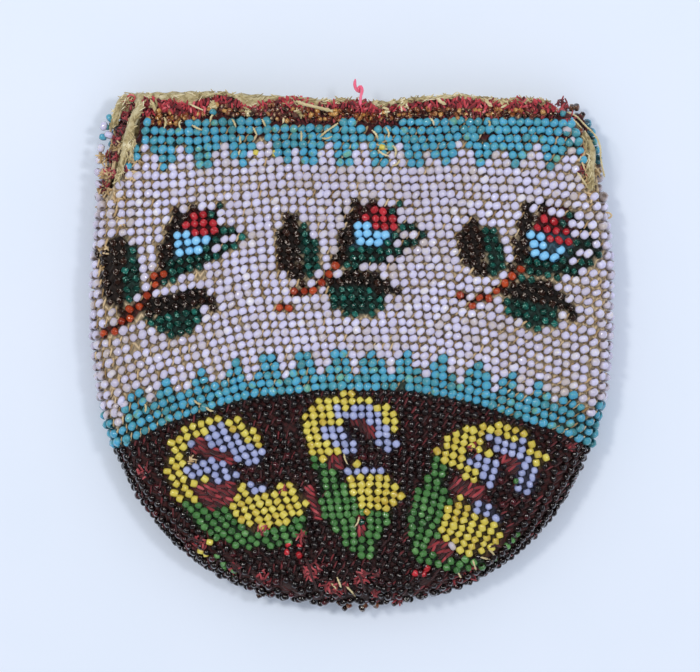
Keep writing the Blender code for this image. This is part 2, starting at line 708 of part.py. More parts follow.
def stand_at_origin(group):
    """Hang every piece on an empty that puts the middle of the footprint at the origin."""
    corners = []
    for piece in group.objects:
        places = np.empty(len(piece.data.vertices) * 3)
        piece.data.vertices.foreach_get("co", places)
        places = places.reshape(-1, 3)
        corners += [places.min(axis=0), places.max(axis=0)]
    low = np.min(corners, axis=0)
    high = np.max(corners, axis=0)
    pieces = list(group.objects)
    frame = bpy.data.objects.new("pouch_frame", None)
    frame.location = (-(low[0] + high[0]) / 2, -(low[1] + high[1]) / 2, -low[2])
    group.objects.link(frame)
    for piece in pieces:
        piece.parent = frame


def build():
    clear_scene()
    group = collection("beaded_pouch")
    cutters = collection("cutters")
    pouch_sheet("knitted_pouch", 0.0, KNIT_THICKNESS, 0.0, 0.0, "crimson_knit", group)
    pouch_sheet("cloth_lining", INNER_LIFT, LINING_THICKNESS, LINING_TOP, LINING_TOP, "cream_lining", group)
    binding("front_binding_tape", FRONT, group)
    binding("back_binding_tape", BACK, group)
    sprig_cuts = []
    scroll_cuts = []
    for hand, place in (("left", -1), ("middle", 0), ("right", 1)):
        sprig_cuts += sprig(hand, place * SPRIG_SPACING, group, cutters)
        scroll_cuts += scroll(hand, place * SCROLL_SPACING, group, cutters)
    front_bands(group, cutters, sprig_cuts, scroll_cuts)
    back_bands(group, cutters)
    fold_strips(group, cutters)
    stand_at_origin(group)


build()
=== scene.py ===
"""Looks of a beaded medicine bag that lies on its back, seen from straight above.

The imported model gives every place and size. The bag is bead knitting: each stitch carries one glass bead,
and the beads are placed here row by row round the bag, with the colours of the beadworker's chart.
Lengths are in millimetres until a piece is laid on the bag, and in metres from there on.
"""

import math

import bmesh
import bpy
import numpy as np
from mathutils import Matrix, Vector


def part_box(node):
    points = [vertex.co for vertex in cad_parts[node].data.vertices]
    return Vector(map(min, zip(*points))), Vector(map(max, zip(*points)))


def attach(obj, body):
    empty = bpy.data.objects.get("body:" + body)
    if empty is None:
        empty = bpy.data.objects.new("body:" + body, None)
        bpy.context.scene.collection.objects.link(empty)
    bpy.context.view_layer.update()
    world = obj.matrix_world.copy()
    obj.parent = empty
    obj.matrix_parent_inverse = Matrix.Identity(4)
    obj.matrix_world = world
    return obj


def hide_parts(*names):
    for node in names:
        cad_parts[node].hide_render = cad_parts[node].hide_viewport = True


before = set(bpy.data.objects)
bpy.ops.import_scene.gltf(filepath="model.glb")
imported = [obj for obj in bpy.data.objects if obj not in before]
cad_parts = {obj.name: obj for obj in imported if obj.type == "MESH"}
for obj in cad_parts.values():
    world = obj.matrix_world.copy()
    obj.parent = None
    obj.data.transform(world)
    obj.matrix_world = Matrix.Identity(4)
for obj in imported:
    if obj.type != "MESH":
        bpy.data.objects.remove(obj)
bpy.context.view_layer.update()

MM = 0.001

# The chart and the form of the bag, as in the model
COLUMNS = 58
ROWS = 68
COLUMN_PITCH = 2.14
ROW_PITCH = 1.78
BARE_EDGE = 1.7
FOLD_RADIUS = 4.2
CROWN = 0.9
BELLY_DEPTH = 46.0
MOUTH_TAPER = 5.2
SHOULDER = 5.2
SHOULDER_DEPTH = 4.5
BOTTOM_SQUARENESS = (2.5, 2.3)
ROW_DROOP = 16.6
CLOSING_DEPTH = 8.0
SLIT_DEPTH = 23.4
SLIT_SHARES = (0.0, 0.35, 0.6, 0.8, 0.94, 1.0)
LEFT_DRAW = (5.0, 8.2, 7.2, 5.3, 2.6, 0.0)
RIGHT_DRAW = (6.4, 4.8, 4.6, 5.2, 3.4, 0.0)
MIDDLE = 6.1
KNIT_THICKNESS = 0.6
LINING_LIFT = -0.9
LINING_THICKNESS = 0.5

# Bands of the chart, by the row where each starts, and the rows of teeth between turquoise and white
TURQUOISE_START = 2
UPPER_TEETH_START = 5
LOWER_TURQUOISE_START = 37
GARNET_START = 39
TOOTH_ROWS = 3
GARNET_PITCH = 2.02
LEAN = 0.16

# Rows of beads as they lie: fewer and wider apart above the garnet beads than among them
UPPER_ROWS = 36
LOWER_ROWS = 30

# Columns of the tips of the turquoise teeth
UPPER_TIPS = (-29, -25, -21, -16.8, -12.55, -7.65, -4.8, -0.9, 3.2, 7.1, 10.5, 14.5, 18.5, 22.5, 26.5)
LOWER_TIPS = (-28.4, -24.5, -20.9, -17, -13.35, -9.5, -5.5, -1.5, 2.3, 6.05, 10, 14.15, 17.8, 21.3, 24.8,
              28.1)

# Where a pixel of the view lies on the bag: millimetres for a pixel, the middle column and the mouth's row
PIXEL = 0.2442
VIEW_MIDDLE = 352
VIEW_MOUTH = 97

# The level that those pixels are measured at, the camera's distance from it and the middle of its view
VIEW_LEVEL = 5.7
VIEW_DISTANCE = 598.3
VIEW_CENTRE = (-0.49, 2.84)

# A bead's bore, as a share of its width
BORE = 0.25

FRONT = 1
BACK = -1
LEFT = -1
RIGHT = 1

LENGTH = BARE_EDGE + ROWS * ROW_PITCH
HALF_WIDTH = COLUMNS * COLUMN_PITCH / 2
FOLD_ARC = math.pi / 2 * FOLD_RADIUS
PLAN_ARC = FOLD_ARC * HALF_WIDTH / (HALF_WIDTH - FOLD_RADIUS + FOLD_ARC)
PLAN_FLAT = HALF_WIDTH - PLAN_ARC
GARNET_DEPTH = BARE_EDGE + GARNET_START * ROW_PITCH
MOUTH_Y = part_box("knitted_pouch")[1].y / MM

SPRIG_COLUMNS = {"left": -20.0, "middle": 0.0, "right": 20.0}
SCROLL_COLUMNS = {"left": -17.5, "middle": 0.0, "right": 17.5}

chance = np.random.default_rng(11)


def side_line(depth):
    """Half width of the bag at a depth below the mouth."""
    above = np.clip(1 - depth / BELLY_DEPTH, 0, None)
    shoulder = SHOULDER * np.exp(-np.maximum(depth, 0) / SHOULDER_DEPTH)
    upper = HALF_WIDTH - MOUTH_TAPER * np.minimum(above, 1) ** 1.3 - shoulder
    below = np.clip((depth - BELLY_DEPTH) / (LENGTH - BELLY_DEPTH), 0, 1)
    square, root = BOTTOM_SQUARENESS
    return upper * (1 - below ** square) ** (1 / root)


def droop(x, depth):
    """How far a row has dropped at a distance from the middle."""
    return ROW_DROOP * (np.maximum(depth, 0) / GARNET_DEPTH) ** 1.5 * (x / HALF_WIDTH) ** 2


def row_half_width(depth):
    """Half width of a drooping row, found where it meets the side line."""
    low = np.zeros_like(depth)
    high = np.full_like(depth, HALF_WIDTH)
    for _ in range(40):
        middle = (low + high) / 2
        inside = middle < side_line(depth + droop(middle, depth))
        low = np.where(inside, middle, low)
        high = np.where(inside, high, middle)
    return (low + high) / 2


def fold_radius(depth):
    """Radius of the side folds, which close up at the round bottom."""
    share = np.clip((depth - LENGTH + CLOSING_DEPTH) / CLOSING_DEPTH, 0, 1)
    return FOLD_RADIUS * np.sqrt(1 - share ** 2)


def base_point(across, depth, side):
    """Point of the knitting for a place on the chart. The side is a number or one for each point."""
    depth = np.minimum(depth, LENGTH)
    end = row_half_width(depth)
    radius = np.maximum(fold_radius(depth), 1e-6)
    flat = end - radius
    arc = radius * math.pi / 2
    away = np.abs(across)
    along = np.where(away < PLAN_FLAT, away * flat / PLAN_FLAT, flat + (away - PLAN_FLAT) * arc / PLAN_ARC)
    angle = np.clip((along - flat) / radius, 0, math.pi)
    back_again = np.maximum(along - flat - math.pi * radius, 0)
    x = np.minimum(along, flat) + radius * np.sin(angle) - back_again
    facing_up = np.maximum(side * np.cos(angle), 0)
    crown = CROWN * facing_up * np.clip(1 - (x / np.maximum(end, 1e-6)) ** 2, 0, 1)
    z = MIDDLE + side * radius * np.cos(angle) + crown
    return np.stack([side * np.sign(across) * x, MOUTH_Y - depth - droop(x, depth), z], axis=-1)


def surface(across, depth, side):
    """Points of the knitting, with the directions along the row, up the bag and outwards."""
    step = 0.02
    inner = np.minimum(depth, LENGTH - 0.06)
    run = base_point(across + step, inner, side) - base_point(across - step, inner, side)
    fall = base_point(across, inner - step, side) - base_point(across, inner + step, side)
    normal = np.cross(run, fall)
    run /= np.linalg.norm(run, axis=-1, keepdims=True)
    normal /= np.linalg.norm(normal, axis=-1, keepdims=True)
    return base_point(across, depth, side), run, np.cross(normal, run), normal


def reach(side, hand, depth):
    """How far a panel goes from the middle at a depth, where the slit has let its edge draw back."""
    draws = (0.0,) * len(SLIT_SHARES)
    if side == FRONT:
        draws = LEFT_DRAW if hand == LEFT else RIGHT_DRAW
    drawn = np.interp(depth, [SLIT_DEPTH * share for share in SLIT_SHARES], draws)
    return HALF_WIDTH - np.where(depth < SLIT_DEPTH, drawn, 0.0)


def sway(across, depth):
    """Slow unevenness of hand knitting: how far stitches have strayed along their rows and down the bag."""
    aside = 0.26 * np.sin(depth / 9.0 + across / 23.0) + 0.14 * np.sin(depth / 3.7 + across / 11.0 + 1.0)
    down = 0.28 * np.sin(across / 8.0 + depth / 31.0) + 0.16 * np.sin(across / 3.1 + depth / 14.0 + 2.0)
    return aside, down


def height(x, y):
    """Height of the front of the knitting over places on the plan."""
    drop = MOUTH_Y - y
    depth = drop
    for _ in range(8):
        depth = drop - droop(x, depth)
    depth = np.clip(depth, 0.0, LENGTH - 0.01)
    end = row_half_width(depth)
    radius = fold_radius(depth)
    beyond = np.clip((np.abs(x) - (end - radius)) / radius, 0, 1)
    level = np.sqrt(1 - beyond ** 2)
    return MIDDLE + level * (radius + CROWN * np.clip(1 - (x / end) ** 2, 0, 1))


def under_view(places):
    """Places moved in towards the camera's line, so that high ones are seen where they were measured."""
    nearer = (places[:, 2:] - VIEW_LEVEL) / VIEW_DISTANCE
    moved = places.copy()
    moved[:, :2] -= (places[:, :2] - VIEW_CENTRE) * nearer
    return moved


def seen(point):
    """Pixels across and down at which places in millimetres are seen."""
    nearer = (point[:, 2] - VIEW_LEVEL) / VIEW_DISTANCE
    x = point[:, 0] + (point[:, 0] - VIEW_CENTRE[0]) * nearer
    y = point[:, 1] + (point[:, 1] - VIEW_CENTRE[1]) * nearer
    return VIEW_MIDDLE + x / PIXEL, VIEW_MOUTH + (MOUTH_Y - y) / PIXEL


def seen_at(route):
    """Places for points of the view: pixels across and down, and millimetres above the knitting."""
    route = np.array(route, dtype=float)
    x = (route[:, 0] - VIEW_MIDDLE) * PIXEL
    y = MOUTH_Y + (VIEW_MOUTH - route[:, 1]) * PIXEL
    return under_view(np.column_stack([x, y, height(x, y) + route[:, 2]]))


def smooth_route(points, spacing):
    """Places at an even spacing along a smooth curve through a route's points."""
    ends = np.vstack([2 * points[0] - points[1], points, 2 * points[-1] - points[-2]])
    places = []
    for before, start, end, after in zip(ends, ends[1:], ends[2:], ends[3:]):
        count = max(int(np.linalg.norm(end - start) / spacing), 2)
        for share in np.arange(count) / count:
            swing = (2 * before - 5 * start + 4 * end - after) * share ** 2
            swing += (3 * start - before - 3 * end + after) * share ** 3
            places.append(start + 0.5 * ((end - before) * share + swing))
    return np.array(places + [points[-1]])


def unit(vectors):
    """Directions of one unit's length."""
    return vectors / np.maximum(np.linalg.norm(vectors, axis=-1, keepdims=True), 1e-9)


def linear(colour):
    """Linear RGBA of an sRGB hex colour."""
    parts = [int(colour[i:i + 2], 16) / 255 for i in (1, 3, 5)]
    return (*(c / 12.92 if c <= 0.04045 else ((c + 0.055) / 1.055) ** 2.4 for c in parts), 1.0)


def new_material(name):
    """An empty material, for nodes to be added to."""
    made = bpy.data.materials.new(name)
    made.use_nodes = True
    made.node_tree.nodes.clear()
    return made


def add(made, kind, values=None, stops=(), **settings):
    """A node with its settings, a value or another node's output for each socket, and a ramp's colours."""
    node = made.node_tree.nodes.new("ShaderNode" + kind)
    for name, setting in settings.items():
        setattr(node, name, setting)
    for name, value in (values or {}).items():
        if isinstance(value, bpy.types.NodeSocket):
            made.node_tree.links.new(value, node.inputs[name])
        else:
            node.inputs[name].default_value = value
    for count, (place, colour) in enumerate(stops):
        if count > 1:
            node.color_ramp.elements.new(1.0)
        node.color_ramp.elements[count].position = place
        node.color_ramp.elements[count].color = linear(colour)
    return node


# The bore colour paints shadow at the ends of each bead's bore, the soil colour also paints shade on the side
# that sits in the knit, and the glint colour paints specks of light
def bead_glass(name, stops, roughness=0.12, glow=0.0, soil="#8a7c70", soiled=0.2, bore="#1c1310",
               pitted=0.4, painted_glints=0.12, painted_glint_colour="#f2ece8", knit_side_shade_and_soil=0.75, ior=1.52, polish=0.6):
    """Drawn glass, cut and tumbled: each bead has its own tone, soil in patches, painted shadow in its bore,
    painted shade with soil on its side in the knit, and painted glints.
    """
    made = new_material(name)
    tone = add(made, "Attribute", attribute_name="tone").outputs["Fac"]
    bore_shadow = add(made, "Attribute", attribute_name="bore_shadow").outputs["Fac"]
    knit_side_shade = add(made, "Attribute", attribute_name="knit_side_shade").outputs["Fac"]
    place = add(made, "TexCoord").outputs["Object"]
    dust = add(made, "TexNoise", {"Vector": place, "Scale": 700.0, "Detail": 2.0}).outputs["Fac"]
    patches = add(made, "TexNoise", {"Vector": place, "Scale": 45.0, "Detail": 2.0}).outputs["Fac"]
    both = add(made, "Math", {0: dust, 1: patches}, operation="MULTIPLY").outputs[0]
    dirty = add(made, "MapRange", {"Value": both, "From Min": 0.2, "From Max": 0.36, "To Max": soiled})
    # Painted shade, with soil: the side of each bead that sits in the knitting is mixed toward the soil
    # colour
    edge = add(made, "Math", {0: knit_side_shade, 1: knit_side_shade_and_soil}, operation="MULTIPLY").outputs[0]
    soil_and_knit_side_shade = add(made, "Math", {0: dirty.outputs[0], 1: edge}, operation="MAXIMUM").outputs[0]
    streak = add(made, "MapRange", {"Value": dust, "From Min": 0.3, "From Max": 0.7, "To Min": -0.3,
                                    "To Max": 0.3})
    mixed = add(made, "Math", {0: tone, 1: streak.outputs[0]}, operation="ADD", use_clamp=True).outputs[0]
    shade = add(made, "ValToRGB", {"Fac": mixed}, stops)
    grain = add(made, "TexNoise", {"Vector": place, "Scale": 1800.0, "Detail": 1.0}).outputs["Fac"]
    pits = add(made, "Bump", {"Height": grain, "Distance": 0.0002, "Strength": pitted})
    # The soil colour goes in for soil in patches and for the painted shade on the knit side
    worn = add(made, "Mix", {0: soil_and_knit_side_shade, 6: shade.outputs[0], 7: linear(soil)}, data_type="RGBA")
    # Painted glints: specks of the fine grain are lightened to the glint colour, for light caught by facets
    painted_glint_specks = add(made, "MapRange", {"Value": grain, "From Min": 0.6, "From Max": 0.68,
                                    "To Max": painted_glints}).outputs[0]
    lit = add(made, "Mix", {0: painted_glint_specks, 6: worn.outputs[2], 7: linear(painted_glint_colour)}, data_type="RGBA")
    # Painted shadow: the ends of each bead's bore are mixed to the bore colour, for the shade inside the hole
    dark = add(made, "Mix", {0: bore_shadow, 6: lit.outputs[2], 7: linear(bore)}, data_type="RGBA")
    shader = add(made, "BsdfPrincipled", {
        "Base Color": dark.outputs[2], "Roughness": roughness, "IOR": ior, "Coat Weight": polish,
        "Coat Roughness": 0.05, "Subsurface Weight": glow, "Subsurface Radius": (1.0, 0.9, 0.9),
        "Subsurface Scale": 0.0005, "Normal": pits.outputs[0],
        "Coat Normal": pits.outputs[0],
    })
    add(made, "OutputMaterial", {"Surface": shader.outputs[0]})
    return made


def yarn_fibre(name, stops, level=0.0, roughness=0.7):
    """Twisted silk or cotton thread: a soft sheen along the fibres, and darker between the plies."""
    made = new_material(name)
    tone = add(made, "Attribute", attribute_name="tone").outputs["Fac"]
    place = add(made, "TexCoord").outputs["Object"]
    fibres = add(made, "TexNoise", {"Vector": place, "Scale": 1400.0, "Detail": 3.0}).outputs["Fac"]
    patches = add(made, "TexNoise", {"Vector": place, "Scale": 220.0, "Detail": 2.0}).outputs["Fac"]
    spread = add(made, "MapRange", {"Value": patches, "From Min": 0.3, "From Max": 0.7,
                                    "To Min": level - 0.3, "To Max": level + 0.3})
    mixed = add(made, "Math", {0: tone, 1: spread.outputs[0]}, operation="ADD", use_clamp=True).outputs[0]
    shade = add(made, "ValToRGB", {"Fac": mixed}, stops)
    bump = add(made, "Bump", {"Height": fibres, "Distance": 0.00015, "Strength": 0.7})
    shader = add(made, "BsdfPrincipled", {
        "Base Color": shade.outputs[0], "Roughness": roughness, "Normal": bump.outputs[0],
        "Sheen Weight": 0.25,
    })
    add(made, "OutputMaterial", {"Surface": shader.outputs[0]})
    return made


def knit_yarn(name):
    """Hand knitted silk yarn, dyed as the beads on it ask and darkened with painted shade under dense and
    dark beads: V stitches that show in the gaps, with painted light and shade across each stitch.
    """
    made = new_material(name)
    chart = add(made, "UVMap", uv_map="chart").outputs["UV"]
    dye = add(made, "Attribute", attribute_name="yarn").outputs["Color"]
    stitch = add(made, "VectorMath", {0: chart, 1: (100.0, 100.0, 0.0)}, operation="MULTIPLY").outputs[0]
    split = add(made, "SeparateXYZ", {0: stitch})
    side = add(made, "Math", {0: split.outputs["X"]}, operation="FRACT")
    middle = add(made, "Math", {0: side.outputs[0], 1: 0.5}, operation="SUBTRACT")
    leg = add(made, "Math", {0: middle.outputs[0]}, operation="ABSOLUTE")
    slant = add(made, "Math", {0: leg.outputs[0], 1: 1.6, 2: split.outputs["Y"]}, operation="MULTIPLY_ADD")
    turn = add(made, "Math", {0: slant.outputs[0], 1: math.tau}, operation="MULTIPLY")
    wave = add(made, "Math", {0: turn.outputs[0]}, operation="SINE")
    place = add(made, "TexCoord").outputs["Object"]
    fuzz = add(made, "TexNoise", {"Vector": place, "Scale": 2500.0, "Detail": 3.0}).outputs["Fac"]
    relief = add(made, "Math", {0: fuzz, 1: 0.6, 2: wave.outputs[0]}, operation="MULTIPLY_ADD")
    bump = add(made, "Bump", {"Height": relief.outputs[0], "Distance": 0.0003, "Strength": 0.8})
    # Painted light and shade across each stitch: lighter on the crests of the V stitches and darker in their
    # grooves
    light = add(made, "MapRange", {"Value": wave.outputs[0], "From Min": -1.0, "To Min": 0.55,
                                   "To Max": 1.2})
    colour = add(made, "Mix", {0: 1.0, 6: dye, 7: light.outputs[0]}, data_type="RGBA",
                 blend_type="MULTIPLY")
    shader = add(made, "BsdfPrincipled", {
        "Base Color": colour.outputs[2], "Roughness": 0.8, "Normal": bump.outputs[0], "Sheen Weight": 0.2,
    })
    add(made, "OutputMaterial", {"Surface": shader.outputs[0]})
    return made


def cotton_cloth(name, stops, thread):
    """Plain woven cotton, aged to cream: a fine weave with browner soil in its hollows."""
    made = new_material(name)
    place = add(made, "TexCoord").outputs["Object"]
    soil = add(made, "TexNoise", {"Vector": place, "Scale": 700.0, "Detail": 5.0}).outputs["Fac"]
    base = add(made, "ValToRGB", {"Fac": soil}, stops)
    across = add(made, "TexWave", {"Vector": place, "Scale": 0.5 / thread},
                 bands_direction="X").outputs["Fac"]
    down = add(made, "TexWave", {"Vector": place, "Scale": 0.5 / thread},
               bands_direction="Y").outputs["Fac"]
    weave = add(made, "Math", {0: across, 1: down}, operation="MULTIPLY").outputs[0]
    relief = add(made, "Math", {0: soil, 1: 1.5, 2: weave}, operation="MULTIPLY_ADD")
    bump = add(made, "Bump", {"Height": relief.outputs[0], "Distance": 0.0002, "Strength": 0.7})
    shader = add(made, "BsdfPrincipled", {
        "Base Color": base.outputs[0], "Roughness": 0.85, "Normal": bump.outputs[0], "Sheen Weight": 0.2,
    })
    add(made, "OutputMaterial", {"Surface": shader.outputs[0]})
    return made


def finished(form, name):
    """A mesh from a form whose faces all point outwards."""
    bmesh.ops.recalc_face_normals(form, faces=form.faces)
    mesh = bpy.data.meshes.new(name)
    form.to_mesh(mesh)
    form.free()
    return mesh


def placed(name, data, material):
    """A piece of the bag with its material."""
    piece = bpy.data.objects.new(name, data)
    bpy.context.scene.collection.objects.link(piece)
    data.materials.append(material)
    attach(piece, "root")
    return piece


def turned(segments, profile):
    """A small shape turned from its profile round Z, one unit long and across."""
    form = bmesh.new()
    verts = [form.verts.new((radius, 0.0, level)) for radius, level in profile]
    edges = [form.edges.new(pair) for pair in zip(verts, verts[1:])]
    bmesh.ops.spin(form, geom=verts + edges, cent=(0, 0, 0), axis=(0, 0, 1), angle=math.tau,
                   steps=segments, use_merge=True)
    bmesh.ops.remove_doubles(form, verts=form.verts, dist=0.001)
    bmesh.ops.holes_fill(form, edges=form.edges, sides=0)
    return finished(form, "turned")


def coordinates(mesh):
    """Places of a mesh's corners."""
    places = np.empty(len(mesh.vertices) * 3)
    mesh.vertices.foreach_get("co", places)
    return places.reshape(-1, 3)


def copies(name, shape, centres, axes, tones, material, smooth=True):
    """One piece with a copy of a small shape for each centre and set of axes, in millimetres."""
    count = len(centres)
    corners = coordinates(shape)
    loops = np.empty(len(shape.loops), dtype=np.int32)
    shape.loops.foreach_get("vertex_index", loops)
    sizes = np.empty(len(shape.polygons), dtype=np.int32)
    shape.polygons.foreach_get("loop_total", sizes)
    places = np.einsum("nij,vj->nvi", axes, corners) + centres[:, None, :]
    every = np.arange(count)[:, None]
    made = bpy.data.meshes.new(name)
    made.vertices.add(count * len(corners))
    made.vertices.foreach_set("co", (places * MM).ravel())
    made.loops.add(count * len(loops))
    made.loops.foreach_set("vertex_index", (loops[None] + every * len(corners)).ravel().astype(np.int32))
    made.polygons.add(count * len(sizes))
    starts = np.concatenate([[0], np.cumsum(sizes)[:-1]])
    made.polygons.foreach_set("loop_start", (starts[None] + every * len(loops)).ravel().astype(np.int32))
    made.update(calc_edges=True)
    if smooth:
        made.shade_smooth()
    # Masks for painted marks: shadow at the ends of the bore, and shade on the side of each bead that sits in
    # the knitting
    bore_shadow_mask = (np.hypot(corners[:, 0], corners[:, 1]) < BORE).astype(np.float32)
    knit_side_shade = np.clip(1 - corners[:, 1] / 0.36, 0, 1).astype(np.float32)
    shades = np.repeat(tones, len(corners)).astype(np.float32)
    for title, values in (("tone", shades), ("bore_shadow", np.tile(bore_shadow_mask, count)),
                          ("knit_side_shade", np.tile(knit_side_shade, count))):
        made.attributes.new(title, "FLOAT", "POINT").data.foreach_set("value", values)
    return placed(name, made, material)


def axes_along(directions, width, length):
    """Axes for strands that lie along their directions, so thick and long."""
    along = unit(directions)
    wide = unit(np.cross(along, (0.0, 0.0, 1.0)))
    high = np.cross(wide, along)
    return np.stack([wide * width[:, None], high * width[:, None], along * length[:, None]], axis=2)


def strewn(count, width, length, headings=0.0, spread=math.pi):
    """Axes for strands or beads that lie about their headings, each a little different in size."""
    turn = headings + chance.uniform(-spread, spread, count)
    ahead = np.column_stack([np.cos(turn), np.sin(turn), chance.normal(0, 0.25, count)])
    return axes_along(ahead, width * chance.uniform(0.75, 1.2, count),
                      length * chance.uniform(0.75, 1.25, count))


def threads(name, routes, thickness, material, plies=1, pitch=1.6, taper=0.4):
    """Threads that lie over the bag along their routes, each twisted from its plies, as one piece."""
    curve = bpy.data.curves.new(name, "CURVE")
    curve.dimensions = "3D"
    curve.bevel_depth = thickness / (2 if plies == 1 else 3.2) * MM
    curve.bevel_resolution = 1
    curve.use_fill_caps = True
    for route in routes:
        places = smooth_route(seen_at(route), thickness)
        run = np.concatenate([[0], np.cumsum(np.linalg.norm(np.diff(places, axis=0), axis=1))])
        ahead = unit(np.gradient(places, axis=0))
        aside = unit(np.cross(ahead, (0.3, 0.2, 1.0)))
        other = np.cross(aside, ahead)
        ends = np.minimum(run, run[-1] - run) / thickness
        for ply in range(plies):
            turn = (math.tau * (run / pitch + ply / plies))[:, None]
            shift = 0.0 if plies == 1 else thickness / 4.5
            points = places + shift * (np.cos(turn) * aside + np.sin(turn) * other)
            spline = curve.splines.new("POLY")
            spline.points.add(len(points) - 1)
            spline.points.foreach_set("co", np.column_stack([points * MM, np.ones(len(points))]).ravel())
            spline.points.foreach_set("radius", np.clip(taper + ends * (1 - taper), taper, 1.0))
            spline.use_smooth = True
    return placed(name, curve, material)


def tape(name, route, widths, turns, bulge, material, thickness=0.4):
    """A strip of woven tape along a route, so wide and turned on edge at each point, rounded and crumpled."""
    places = seen_at(route)
    marks = np.linspace(0, 1, len(route))
    places = smooth_route(places, 0.5)
    share = np.linspace(0, 1, len(places))
    width = np.interp(share, marks, widths) * PIXEL
    turn = np.radians(np.interp(share, marks, turns))[:, None]
    ahead = unit(np.gradient(places, axis=0))
    flat = unit(np.cross((0.0, 0.0, 1.0), ahead))
    up = np.cross(ahead, flat)
    aside = np.cos(turn) * flat + np.sin(turn) * up
    over = np.cross(ahead, aside)
    form = bmesh.new()
    bmesh.ops.create_grid(form, x_segments=len(places) - 1, y_segments=6, size=1.0)
    for vert in form.verts:
        step = round((vert.co.x + 1) / 2 * (len(places) - 1))
        part = vert.co.y
        lift = bulge * (1 - part ** 2) + 0.12 * math.sin(step * 0.9 + part * 2.1)
        vert.co = (places[step] + aside[step] * part * width[step] / 2 + over[step] * lift) * MM
    mesh = finished(form, name)
    mesh.shade_smooth()
    piece = placed(name, mesh, material)
    wall = piece.modifiers.new("thickness", "SOLIDIFY")
    wall.thickness = thickness * MM
    wall.offset = 0.0
    return piece

def inside(outline, across, down):
    """Whether each place lies in an outline of the chart."""
    found = np.zeros(np.shape(across), dtype=bool)
    for (x0, y0), (x1, y1) in zip(outline, outline[1:] + outline[:1]):
        crosses = (y0 > down) != (y1 > down)
        with np.errstate(divide="ignore", invalid="ignore"):
            found ^= crosses & (across < (x1 - x0) * (down - y0) / (y1 - y0) + x0)
    return found


def bead_places():
    """Row, stitch, depth, place across and side of every bead, knitted round the bag from the mouth down."""
    upper = np.linspace(BARE_EDGE, GARNET_DEPTH, 2 * UPPER_ROWS + 1)[1::2]
    lower = np.linspace(GARNET_DEPTH, LENGTH, 2 * LOWER_ROWS + 1)[1::2]
    stitches = (np.arange(2 * COLUMNS) + 0.5) / (2 * COLUMNS)
    rows = []
    above = BARE_EDGE
    for row, depth in enumerate(np.concatenate([upper, lower])):
        level = np.array([depth])
        arc = fold_radius(level)[0] * math.pi / 2
        flat = (row_half_width(level) - fold_radius(level))[0]
        half = flat + arc
        wanted = max(min(len(stitches), round(4 * half / GARNET_PITCH)), 6)
        if row < UPPER_ROWS:
            wanted = len(stitches)
        while len(stitches) > wanted:
            gaps = np.diff(stitches, append=stitches[0] + 1)
            stitches = np.delete(stitches, np.argmin(gaps + chance.uniform(0, 0.3 * gaps.mean(),
                                                                           len(gaps))))
            for _ in range(3):
                ahead = np.append(stitches[1:], stitches[0] + 1)
                behind = np.insert(stitches[:-1], 0, stitches[-1] - 1)
                stitches = 0.5 * stitches + 0.25 * (ahead + behind)
        stitches = stitches + LEAN * (depth - above) / (4 * HALF_WIDTH)
        above = depth
        turn = (stitches + 0.25) % 1
        side = np.where(turn < 0.5, FRONT, BACK)
        run = ((turn % 0.5) * 4 - 1) * half
        away = np.abs(run)
        folded = PLAN_FLAT + (away - flat) * PLAN_ARC / max(arc, 1e-6)
        across = np.sign(run) * np.where(away < flat, away * PLAN_FLAT / flat, folded)
        rows += [(row, count, depth, *place) for count, place in enumerate(zip(across, side))]
    return np.array(rows).T


def in_tooth(column, tips, from_root):
    """Whether a bead of a row of teeth is turquoise: three to a tooth at its root, then two, then one."""
    away = np.abs(column[..., None] - np.array(tips)).min(axis=-1)
    rows = np.floor(from_root * ROW_PITCH * UPPER_ROWS / (GARNET_DEPTH - BARE_EDGE))
    return (rows < TOOTH_ROWS) & (away <= 1.6 - 0.5 * rows)


def colour_fields(row, column, side):
    """Name of the model's piece that each place on the chart belongs to."""
    upper = in_tooth(column, UPPER_TIPS, row - UPPER_TEETH_START)
    lower = in_tooth(column, LOWER_TIPS, LOWER_TURQUOISE_START - row)
    band = np.where(row < TURQUOISE_START, "brown",
                    np.where((row < UPPER_TEETH_START) | upper, "upper_turquoise",
           np.where(row < LOWER_TURQUOISE_START, np.where(lower, "lower_turquoise", "white"),
           np.where(row < GARNET_START, "lower_turquoise", "garnet"))))
    names = np.char.add(np.char.add(np.where(side == FRONT, "front_", "back_"), band),
                        "_beads").astype("<U40")
    for group, motifs, columns in (("sprig", SPRIGS, SPRIG_COLUMNS), ("scroll", SCROLLS, SCROLL_COLUMNS)):
        for hand, parts in motifs.items():
            for part, outline in parts.items():
                chosen = inside(outline, column - columns[hand], row) & (side == FRONT)
                if part.startswith("bare"):
                    names[chosen] = f"{hand}_bare"
                else:
                    names[chosen] = f"{hand}_{group}_{CHART_NODES.get(part, part)}"
    return names


def lot_of(name, lots):
    """The entry of a table that a field's name calls for."""
    return next(lot for key, lot in lots.items() if key in name)


